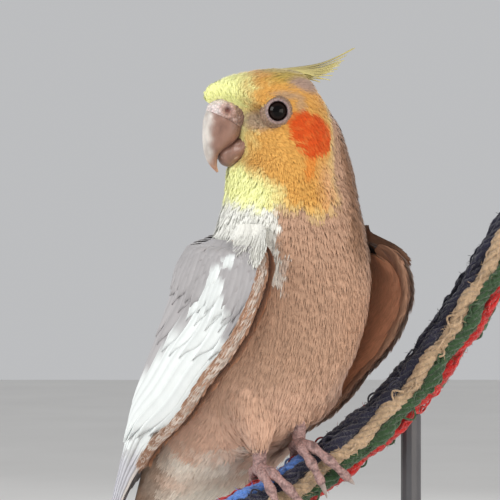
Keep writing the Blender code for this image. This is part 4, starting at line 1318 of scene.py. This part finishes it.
def tail_feather(feathers, random, length, root, tip, way, layer, width, colour, start):
    """One long feather on one side of the tail's middle; a higher layer lies lower."""
    rows, columns = TAIL_GRID
    share = np.linspace(0.0, 1.0, rows)
    u = np.linspace(-0.5, 0.5, columns)
    wide = width * vane_outline(share)
    centre = root + (tip - root) * share
    across = centre[:, None] + wide[:, None] * u[None]
    if root > 3.0:
        across = np.maximum(across, 0.4)
    depth = layer * TAIL_LAYER * 0.9 * smooth(0.3 + 3.0 * share)
    upper = []
    lower = []
    for i in range(rows):
        middle, _, back = trunk_frame(start + length / STATION_STEP * share[i])
        fall = TAIL_HEIGHT - depth[i] - 0.02 * across[i] ** 2 - 0.5 * np.abs(u) ** 2
        line = np.array(middle) + np.outer(way * across[i], np.array(LEFT)) + np.outer(fall, np.array(back))
        upper.append(line)
        lower.append(line - np.array(back) * TAIL_VANE)
    top, under = np.array(upper), np.array(lower)
    if way > 0:
        top, under = top[:, ::-1], under[:, ::-1]
    shaft = 1.0 - 0.20 * (np.abs(u) < 0.02)[None, :, None]
    fade = (1.03 - 0.10 * share)[:, None, None]
    tones = colour * shaft * fade * random.uniform(0.95, 1.04)
    feathers.add(top, under, tones, (0.5 + way * 0.02 * root, 0.04))


def make_tail():
    """Stepped feathers from the outermost in, then short fawn coverts over their roots."""
    random = np.random.default_rng(SEED + 7)
    feathers = Feathers()
    for layer, (length, root, tip) in reversed(list(enumerate(TAIL_FEATHERS))):
        for way in (1, -1):
            shift = 0.15 * way if layer == 0 else 0.0
            tail_feather(
                feathers, random, length, root, tip, way, layer + shift, TAIL_WIDTH, TAIL_GREY, TAIL_START)
    for number in range(TAIL_COVERTS):
        place = 2.0 * number / (TAIL_COVERTS - 1) - 1.0
        way = 1 if place >= 0 else -1
        far = abs(place)
        tail_feather(
            feathers, random, COVERT_LENGTH - 12.0 * far, 7.0 * far, 8.5 * far, way,
            -1.2 + 2.2 * far, COVERT_WIDTH, NAPE * 1.15, TAIL_START - 0.3)
    piece = feathers.build("tail_feathers", vane_material("tail_vane", 0.6))
    return placed(outward(piece), "tail_feathers", "tail")


# Crest

CREST_COUNT = 11
CREST_ROOTS = ((5.5, 52.2), (-5.5, 51.4))
CREST_TIPS = ((-24.4, 60.6), (-15.5, 50.4))
CREST_WIDTH = 1.05
CREST_VANE = 0.22
CREST_LEAN = 0.35
CREST_GRID = (16, 5)


def crest_feather(feathers, random, share, way):
    """One narrow feather; share runs from the longest at the front to the shortest at the back."""
    rows, columns = CREST_GRID
    t = np.linspace(0.0, 1.0, rows)
    u = np.linspace(-0.5, 0.5, columns)
    root = np.array(CREST_ROOTS[0]) * (1 - share) + np.array(CREST_ROOTS[1]) * share
    bend = share ** 0.75
    tip = np.array(CREST_TIPS[0]) * (1 - bend) + np.array(CREST_TIPS[1]) * bend
    tip = tip + random.uniform(-0.5, 0.5, 2)
    forward = root[0] + (tip[0] - root[0]) * t
    up = root[1] + (tip[1] - root[1]) * t ** 2.2
    up = up + 1.3 * np.sin(math.pi * np.minimum(1.4 * t, 1.0)) * (1 - t)
    side = way * (0.35 + 3.2 * share * (0.4 + 0.6 * t)) + way * 0.2
    swell = 0.45 + 0.55 * np.sin(math.pi * np.minimum(t * 1.2, 1.0))
    width = CREST_WIDTH * swell * (1 - 0.75 * t ** 3)
    across = width[:, None] * u[None]
    lateral = side[:, None] + across
    height = up[:, None] - CREST_LEAN * way * across - 0.25 * np.abs(u)[None] * width[:, None]
    ahead = forward[:, None] + np.zeros_like(across)
    grid = np.array([[head_point(*p) for p in zip(*row)] for row in zip(ahead, lateral, height)])
    grey = (0.25 + 0.45 * (1.0 - share)) * np.sin(math.pi * np.minimum(t * 0.9, 1.0))[:, None]
    shade = CREST_YELLOW * (1.0 - grey) + CREST_SHAFT * grey
    shaft = (np.abs(u) < 0.1)[None, :, None]
    colours = (shade[:, None] * (1 - shaft) + CREST_SHAFT * shaft) * random.uniform(0.9, 1.05)
    feathers.add(grid, grid - np.array(UP) * CREST_VANE, colours, (0.5 + 0.01 * way, 0.97))


def make_crest():
    """Long narrow feathers laid back over the crown, longest in the middle."""
    random = np.random.default_rng(SEED + 5)
    feathers = Feathers()
    for number in range(CREST_COUNT):
        for way in (1, -1):
            crest_feather(feathers, random, number / (CREST_COUNT - 1), way)
    piece = feathers.build("crest_feathers", vane_material("crest_vane", 0.65))
    return placed(outward(piece), "face_feathers", "crest")


# Bill, cere, eyes and lids

def bill_surface(sections, skew, rows, sides):
    """Rings of points through the sections of a part of the bill; skew narrows one edge."""
    rings = []
    for k in range(rows):
        row = catmull(sections, (len(sections) - 1) * k / (rows - 1))
        ridge = head_point(row[0], 0.0, row[1])
        edge = head_point(row[2], 0.0, row[3])
        middle = (ridge + edge) / 2
        half = (ridge - edge) / 2
        ring = []
        for j in range(sides):
            angle = 2 * math.pi * j / sides
            wide = row[4] * math.sin(angle) * (1 - skew * math.cos(angle))
            ring.append(middle + half * math.cos(angle) + HEAD_LEFT * wide)
        rings.append(ring)
    return rings


def bill_colours(verts, upper):
    """A white painted highlight along the ridge of the upper bill, paler edges and tip."""
    ahead, left, up = head_coordinates(verts)
    colours = np.tile(BILL, (len(verts), 1))
    flakes = smooth(noise(verts * np.array((1.0, 1.0, 0.6)), 0.8, 12) * 2.2 - 0.9)
    if not upper:
        return toward(colours, BILL_PALE, flakes * 0.4)
    colours = toward(colours, BILL_PALE, flakes * smooth((up - 35.5) / 3.0) * 0.8)
    # the white ridge of the upper bill is a painted highlight, with a ragged rim
    highlight_ragging = noise(verts, 1.6) * 0.5
    ridge = smooth((ahead - 18.8 + highlight_ragging) / 2.4) * smooth((4.2 - np.abs(left) + highlight_ragging) / 2.4)
    colours = toward(colours, BILL_RIDGE_HIGHLIGHT, ridge * smooth((up - 22.5) / 5.0))
    edge = smooth((0.9 - np.abs(up - 30.0 - (14.0 - ahead) * 0.55)) / 0.9) * smooth((18.0 - ahead) / 3.0)
    colours = toward(colours, BILL_PALE, edge * 0.35)
    return toward(colours, BILL_TIP, smooth((27.0 - up) / 4.0) * 0.8)


def make_bill():
    """Both parts of the bill, in horn with pale flakes and a painted highlight along the upper ridge."""
    horn = horn_material("bill_horn", (0.78, 0.76, 0.76), (1.16, 1.16, 1.16), 0.45)
    for name, sections, skew in (
            ("bill_upper", UPPER_BILL_SECTIONS, BILL_SKEW), ("bill_lower", LOWER_BILL_SECTIONS, -BILL_SKEW)):
        verts, faces = closed_loft(bill_surface(sections, skew, *BILL_GRID))
        verts = np.array(verts)
        colours = bill_colours(verts, name == "bill_upper")
        piece = mesh_piece(name + "_horn", verts, faces, colours, horn)
        placed(outward(piece), "bill_horn", name)


def make_cere():
    """Soft skin over the root of the bill, with a raised ring and a pit at each nostril."""
    verts, faces = closed_loft(bill_surface(CERE_SECTIONS, BILL_SKEW, *CERE_GRID))
    verts = np.array(verts)
    ahead, left, up = head_coordinates(verts)
    middle = np.array(head_point(*CERE_MIDDLE))
    out = unit(verts - middle)
    gap = np.hypot(ahead - NOSTRIL[0], up - NOSTRIL[1])
    on_side = np.abs(left) > 2.5
    ring = np.exp(-((gap - 1.7) / 0.6) ** 2) * on_side
    pit = np.exp(-(gap / 0.95) ** 2) * on_side
    crumple = noise(verts, 0.9, 4) * 0.12
    verts = verts + out * (0.55 * ring - 1.1 * pit + crumple)[:, None]
    colours = np.tile(CERE, (len(verts), 1))
    low = smooth((42.4 - up + (15.0 - ahead) * 0.55 + noise(verts, 1.0, 3) * 0.8) / 2.2)
    colours = toward(colours, BILL, low * smooth((20.6 - ahead) / 2.5) * 0.9)
    flecks = smooth(noise(verts, 0.7, 13) * 2.4 - 0.7)
    colours = toward(colours, BILL_PALE, flecks * low * 0.8)
    colours = toward(colours, NOSTRIL_RING, ring * 0.8)
    colours = toward(colours, NOSTRIL_PIT, pit * 1.5)
    piece = mesh_piece("cere_skin", verts, faces, colours, bare_skin_material("cere_skin"))
    return placed(outward(piece), "bare_skin", "cere")


def eye_frame(side):
    """Middle of the eye and its outward and forward ways, turned a little to the bill."""
    middle = head_point(EYE_PLACE[0], side * EYE_PLACE[1], EYE_PLACE[2])
    out = HEAD_LEFT * side * math.cos(EYE_TURN) + BEAK_WAY * math.sin(EYE_TURN)
    ahead = BEAK_WAY * math.cos(EYE_TURN) - HEAD_LEFT * side * math.sin(EYE_TURN)
    return middle, out, ahead


def make_eye(name, side, material):
    """Globe with a raised clear front over a dark brown iris and black pupil."""
    middle, out, ahead = eye_frame(side)
    rings = []
    tones = []
    for k in range(EYE_ROWS + 1):
        turn = math.pi * k / EYE_ROWS
        reach = EYE_RADIUS * math.cos(turn)
        spread = EYE_RADIUS * math.sin(turn)
        if turn < CORNEA_TURN:
            reach += 0.25 * (1 - turn / CORNEA_TURN) ** 2
        rings.append([middle + out * reach + (ahead * math.cos(a) + UP * math.sin(a)) * spread
                      for a in np.linspace(0, 2 * math.pi, EYE_SIDES, endpoint=False)])
        iris = smooth((spread - PUPIL_RADIUS) / 0.25)
        tones += [PUPIL * (1 - iris) + IRIS * iris] * EYE_SIDES
    verts, faces = closed_loft(rings)
    tones += [PUPIL, IRIS]
    piece = mesh_piece(name + "_globe", [tuple(v) for v in verts], faces, np.array(tones), material)
    placed(outward(piece), "eye", name)


# Section of the rim round the eye: distance from its axis and height over its middle
LID_PROFILE = (
    (2.72, 2.35), (2.85, 2.62), (3.02, 2.66), (3.22, 2.50), (3.48, 2.30), (3.75, 2.10),
    (4.05, 1.80), (4.4, 1.30), (4.8, 0.5), (5.0, -0.2), (4.4, -0.6), (3.4, 0.4), (2.8, 1.7))
LID_SIDES = 96
LID_LIFT = 0.35


def make_lids(name, side, material):
    """Wrinkled bare rim round the eye, from inside the opening out under the feathers."""
    middle, out, ahead = eye_frame(side)
    verts = []
    tones = []
    for k in range(LID_SIDES):
        angle = 2 * math.pi * k / LID_SIDES
        way = ahead * math.cos(angle) + UP * math.sin(angle) * 1.03
        for j, (spread, reach) in enumerate(LID_PROFILE):
            crease = 0.09 * math.sin(angle * 31 + j * 0.9) * (2 <= j <= 7)
            verts.append(tuple(middle + way * spread + out * (reach + LID_LIFT + crease)))
            tone = LID_RIM if j < 2 or j > 9 else LID_RING if j < 5 else LID_OUTER
            speck = 0.8 if (k * 7 + j * 13) % 11 < 2 else 1.0
            tones.append(tone * speck * (1 + 0.06 * math.sin(angle * 17 + j)))
    count = len(LID_PROFILE)
    faces = []
    for k in range(LID_SIDES):
        for j in range(count):
            a = k * count + j
            b = k * count + (j + 1) % count
            shift = ((k + 1) % LID_SIDES - k) * count
            faces.append((a, b, b + shift, a + shift))
    piece = mesh_piece(name + "_lids", verts, faces, np.array(tones), material)
    placed(outward(piece), "bare_skin")


# Feet and claws

TOE_STEPS = 56
TOE_SIDES = 20
CLAW_RADIUS = 0.98
CLAW_SIDES = 14
CLAW_STEPS = 19
FOOT_LIFT = 1.6
ANKLE_HEIGHT = 6.0


def toe_points(place, way, spread, sweep):
    """The middle line of a toe that sweeps round the rope and drifts along it."""
    middle, along, front, top = rope_frame(place)
    reach = ROPE_RADIUS + TOE_RADIUS + 0.1
    points = []
    for k in range(TOE_STEPS + 1):
        share = k / TOE_STEPS
        angle = math.radians(sweep) * share
        out = top * math.cos(angle) + front * way * math.sin(angle)
        points.append(middle + out * reach + along * spread * share)
    return points


def make_claw(name, tip, run, inward, horn):
    """A horn cone from the toe's tip that bends in towards the rope."""
    points = []
    for share in [k / CLAW_STEPS for k in range(CLAW_STEPS + 1)]:
        ahead = run * (-0.5 + (CLAW_LENGTH + 0.7) * share)
        points.append(tip + ahead + inward * share ** 2 * CLAW_LENGTH * 0.35)
    radii = [CLAW_RADIUS * (1 - 0.88 * (k / CLAW_STEPS) ** 1.3) for k in range(CLAW_STEPS + 1)]
    verts, faces = closed_loft(tube_rings(points, radii, CLAW_SIDES))
    shade = CLAW * np.linspace(1.1, 0.85, len(verts))[:, None]
    claw = mesh_piece(name + "_horn", [tuple(v) for v in verts], faces, shade, horn)
    placed(outward(claw), "claw_horn", name)


def make_foot(name, side, skin, horn):
    """Scaly toes with pads and joints that grip the rope, and the shank above them."""
    place = FOOT_PLACES[name]
    middle, along, _, top = rope_frame(place)
    hub = middle + top * (ROPE_RADIUS + FOOT_LIFT)
    foot = Tubes()
    random = np.random.default_rng(SEED + 11 + side)
    for number, (way, spread, sweep) in enumerate(TOE_PLANS, 1):
        points = toe_points(place, way, spread, sweep)
        radii = []
        for k in range(TOE_STEPS + 1):
            joint = 1 + 0.16 * math.cos(2 * math.pi * 3.2 * k / TOE_STEPS)
            radii.append((TOE_RADIUS + (TOE_TIP_RADIUS - TOE_RADIUS) * k / TOE_STEPS) * joint)
        phase = random.uniform(0, 6.28)

        def scales(share, angle, phase=phase):
            bend = 0.4 * math.sin(5 * angle + phase)
            return 0.05 * math.sin(2 * math.pi * share * 26.0 + bend) + 0.03 * math.cos(9 * angle)

        foot.grow(points, radii, TOE_SIDES, TOE, scales)
        tip = points[-1]
        run = (tip - points[-4]).normalized()
        inward = (middle + along * spread - tip).normalized()
        make_claw("claw_" + name + "_" + str(number), tip, run, inward, horn)
    knee = knee_point(side)
    ankle = hub + UP * ANKLE_HEIGHT
    shank = [knee.lerp(ankle, 0.55 + 0.45 * k / 14) for k in range(15)]
    shank += [ankle.lerp(hub, (k + 1) / 12) for k in range(12)]
    widths = [2.3 - 0.3 * k / 26 for k in range(27)]

    def plates(share, angle):
        return 0.05 * math.sin(share * 70.0) * (0.4 + 0.6 * abs(math.cos(angle)))

    foot.grow(shank, widths, TOE_SIDES, TOE, plates)
    pad = [hub + along * (4.0 * (k / 10 - 0.5)) - top * 0.2 for k in range(11)]
    pad_radii = [2.1 * math.sqrt(max(1 - (2 * (k / 10) - 1) ** 2, 0.04)) + 0.5 for k in range(11)]
    foot.grow(pad, pad_radii, TOE_SIDES, TOE, scales)
    points = foot.points()
    spots = smooth((noise(points, 0.75, 6) - 0.15) / 0.3)
    tones = toward(foot.colours(), TOE_SPOTS, spots * 0.7)
    piece = mesh_piece("foot_" + name + "_skin", points, foot.faces, tones, skin)
    return placed(outward(piece), "bare_skin", "foot_" + name)


# Rope of twisted strands

STRANDS = (
    ("beige", (196, 168, 136)), ("navy", (34, 34, 56)), ("blue", (92, 136, 214)),
    ("red", (190, 30, 28)), ("navy", (38, 38, 62)), ("beige", (206, 188, 166)),
    ("green", (60, 98, 66)), ("red", (200, 26, 24)), ("green", (52, 84, 50)))
DARK_STRAND = STRANDS[1][1]
STRAND_START = math.radians(-22.0)
STRAND_LAY = 4.75
STRAND_TURN = 900.0
STRAND_STEPS = 300
YARNS = 5
YARN_LAY = 1.35
YARN_RADIUS = 1.02
YARN_SIDES = 9
YARN_TWIST = 15.0
LOOPS = 26
LOOP_POINTS = 10
LOOP_RADIUS = 0.32
CORE_RADIUS = 3.6
FUZZ_HAIRS = 9000
BLUE_END = 62.0


def rope_path(steps):
    """Places along the rope's middle line with the length reached at each."""
    last = len(ROPE_POINTS) - 1
    frames = []
    length = 0.0
    for k in range(steps + 1):
        place = rope_frame(last * k / steps)
        if frames:
            length += (place[0] - frames[-1][0]).length
        frames.append((*place, length))
    return frames


def yarn_line(frames, start, number, yarn, lumps):
    """Points and radii of one yarn that twists round its strand's own middle."""
    points = []
    radii = []
    for middle, along, front, top, length in frames:
        braid = 0.13 * math.sin(length / 3.4 + number * 2.2)
        angle = start + braid + 2 * math.pi * length / STRAND_TURN
        out = front * math.cos(angle) + top * math.sin(angle)
        lump = 1 + 0.07 * math.sin(length / 3.1 + lumps[0]) + 0.05 * math.sin(length / 1.7 + lumps[1])
        twist = 2 * math.pi * (yarn / YARNS + length / YARN_TWIST)
        around = out * math.cos(twist) + along.cross(out) * math.sin(twist)
        points.append(middle + out * (STRAND_LAY * lump) + around * YARN_LAY)
        radii.append(YARN_RADIUS * lump)
    return points, radii


def loose_loop(frames, at, start, swing, rise):
    """Points of a pulled thread that stands up from its strand."""
    points = []
    for k in range(LOOP_POINTS):
        middle, _, front, top, length = frames[at + k]
        arch = math.sin(k / (LOOP_POINTS - 1) * math.pi)
        angle = start + 2 * math.pi * length / STRAND_TURN + swing * arch
        out = front * math.cos(angle) + top * math.sin(angle)
        points.append(middle + out * (STRAND_LAY + 1.5 + rise * arch))
    return points


def fuzz(random, points, shades, lines):
    """Fine hairs on seeded points of the strands: their points, faces and colours."""
    picks = random.integers(0, len(points), FUZZ_HAIRS)
    near = lines[np.argmin(((points[picks][:, None] - lines[None, ::4]) ** 2).sum(2), axis=1) * 4]
    out = unit(points[picks] - near)
    along = unit(np.cross(out, random.normal(size=(FUZZ_HAIRS, 3))))
    reach = random.uniform(0.8, 2.6, (FUZZ_HAIRS, 1))
    base = points[picks] - out * 0.2
    middle = base + out * reach * 0.35 + along * reach * 0.5
    tip = base + out * reach * 0.45 + along * reach
    edge = np.cross(along, out) * 0.07
    hairs = np.stack((base - edge, base + edge, middle - edge, middle + edge, tip), axis=1)
    faces = []
    for a in range(len(points), len(points) + 5 * FUZZ_HAIRS, 5):
        faces += [(a, a + 1, a + 3, a + 2), (a + 2, a + 3, a + 4)]
    return hairs.reshape(-1, 3), faces, np.repeat(shades[picks] * 1.15, 5, axis=0)


def make_rope():
    """Each strand is a bundle of yarns, lumpy and fuzzy, laid round the core."""
    random = np.random.default_rng(SEED + 13)
    frames = rope_path(STRAND_STEPS)
    lines = np.array([f[0] for f in frames])
    reached = np.array([f[4] for f in frames])
    rope = Tubes()
    for number, (name, colour) in enumerate(STRANDS):
        tone = srgb(*colour)
        dark = smooth((reached - BLUE_END) / 3.0)[:, None] * (name == "blue")
        start = STRAND_START + 2 * math.pi * number / len(STRANDS)
        lumps = random.uniform(0, 6.28, 3)
        for yarn in range(YARNS):
            points, radii = yarn_line(frames, start, number, yarn, lumps)
            shade = (tone * (1.0 - dark) + srgb(*DARK_STRAND) * dark) * random.uniform(0.85, 1.15)

            def ply(share, angle, phase=lumps[2]):
                return 0.10 * math.cos(3 * angle + share * 420.0 + phase) + 0.04 * math.sin(share * 900.0)

            rope.grow(points, radii, YARN_SIDES, shade, ply)
        for _ in range(LOOPS):
            at = int(random.integers(4, STRAND_STEPS - 14))
            swing = random.uniform(-0.5, 0.5)
            rise = random.uniform(0.4, 1.5)
            points = loose_loop(frames, at, start, swing, rise)
            rope.grow(points, [LOOP_RADIUS] * LOOP_POINTS, 5, shade[at] * random.uniform(0.9, 1.2))
    core_points = [f[0] for f in frames[1:-1:6]]
    rope.grow(core_points, [CORE_RADIUS] * len(core_points), 12, ROPE_CORE)
    points, shades = rope.points(), rope.colours()
    hairs, hair_faces, hair_shades = fuzz(random, points, shades, lines)
    piece = mesh_piece(
        "rope_strands", np.concatenate((points, hairs)), rope.faces + hair_faces,
        np.concatenate((shades, hair_shades)), yarn_material())
    return placed(piece, "rope_fibre", "perch_rope")


# Stand, floor, light and camera

FLOOR_REACH = 3.0
LIGHT_AIM = (0.0, 0.0, 0.20)

# Soft lamps: name, place in metres, power, size and colour
LAMPS = (
    ("key", (-0.95, -0.55, 0.75), 11.5, 0.7, (1.0, 0.99, 0.96)),
    ("fill", (0.85, -0.7, 0.35), 7.0, 0.7, (1.0, 0.90, 0.80)),
    ("rim", (0.3, 0.9, 0.7), 4.0, 0.6, (0.95, 0.97, 1.0)),
)
WORLD_COLOUR = (0.92, 0.93, 0.95, 1.0)
WORLD_STRENGTH = 0.55


def dress_stand():
    """Paint on the stand's own solids."""
    paint = paint_material()
    for name in ("stand_base", "stand_rod_1", "stand_rod_2"):
        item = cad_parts[name]
        item.data.materials.clear()
        item.data.materials.append(paint)


def make_floor():
    corners = [(x * FLOOR_REACH, y * FLOOR_REACH, 0.0) for x, y in ((-1, -1), (1, -1), (1, 1), (-1, 1))]
    mesh = bpy.data.meshes.new("floor")
    mesh.from_pydata(corners, [], [(0, 1, 2, 3)])
    mesh.materials.append(floor_material())
    floor = bpy.data.objects.new("floor", mesh)
    bpy.context.scene.collection.objects.link(floor)


def make_light():
    """Soft lamps and a pale world; the Standard transform keeps the yellow and orange clear."""
    for name, place, energy, size, colour in LAMPS:
        light = bpy.data.lights.new(name, "AREA")
        light.energy = energy
        light.size = size
        light.color = colour
        lamp = bpy.data.objects.new(name, light)
        lamp.location = place
        lamp.rotation_euler = (Vector(LIGHT_AIM) - Vector(place)).to_track_quat("-Z", "Y").to_euler()
        bpy.context.scene.collection.objects.link(lamp)
    world = bpy.data.worlds.new("studio")
    bpy.context.scene.world = world
    world.use_nodes = True
    background = world.node_tree.nodes["Background"]
    background.inputs["Color"].default_value = WORLD_COLOUR
    background.inputs["Strength"].default_value = WORLD_STRENGTH
    bpy.context.scene.view_settings.view_transform = "Standard"


def make_camera():
    """The photo's frame: level, from the front, at the head's distance."""
    camera = bpy.data.cameras.new("camera")
    camera.sensor_width = SENSOR
    camera.lens = SENSOR * CAMERA_DISTANCE * PIXELS_PER_MM / PICTURE
    camera.clip_start = 0.01
    item = bpy.data.objects.new("camera", camera)
    item.location = (0.0, (HEAD_AXIS.y - CAMERA_DISTANCE) * MM, SHOULDER_HEIGHT * MM)
    item.rotation_euler = (math.radians(90.0), 0.0, 0.0)
    bpy.context.scene.collection.objects.link(item)
    bpy.context.scene.camera = item


def main():
    make_camera()
    make_light()
    make_floor()
    dress_stand()
    coat = coat_material()
    make_coat(make_skin(), coat)
    wing = vane_material("wing_vane", 0.58)
    sides = (("right", -1), ("left", 1))
    for name, side in sides:
        make_wing("wing_" + name, side, wing)
    for name, side in sides:
        make_shoulder("shoulder_" + name, side, coat)
    for name, side in sides:
        make_margin("wing_edge_" + name, side, coat)
    make_tail()
    make_crest()
    make_bill()
    make_cere()
    eye = eye_material()
    lids = bare_skin_material("lid_skin")
    for name, side in (("eye_left", 1), ("eye_right", -1)):
        make_eye(name, side, eye)
        make_lids(name, side, lids)
    toes = bare_skin_material("toe_skin")
    claws = horn_material("claw_horn", (0.72, 0.70, 0.70), (1.2, 1.2, 1.2), 0.4)
    make_foot("left", 1, toes, claws)
    make_foot("right", -1, toes, claws)
    make_rope()


main()
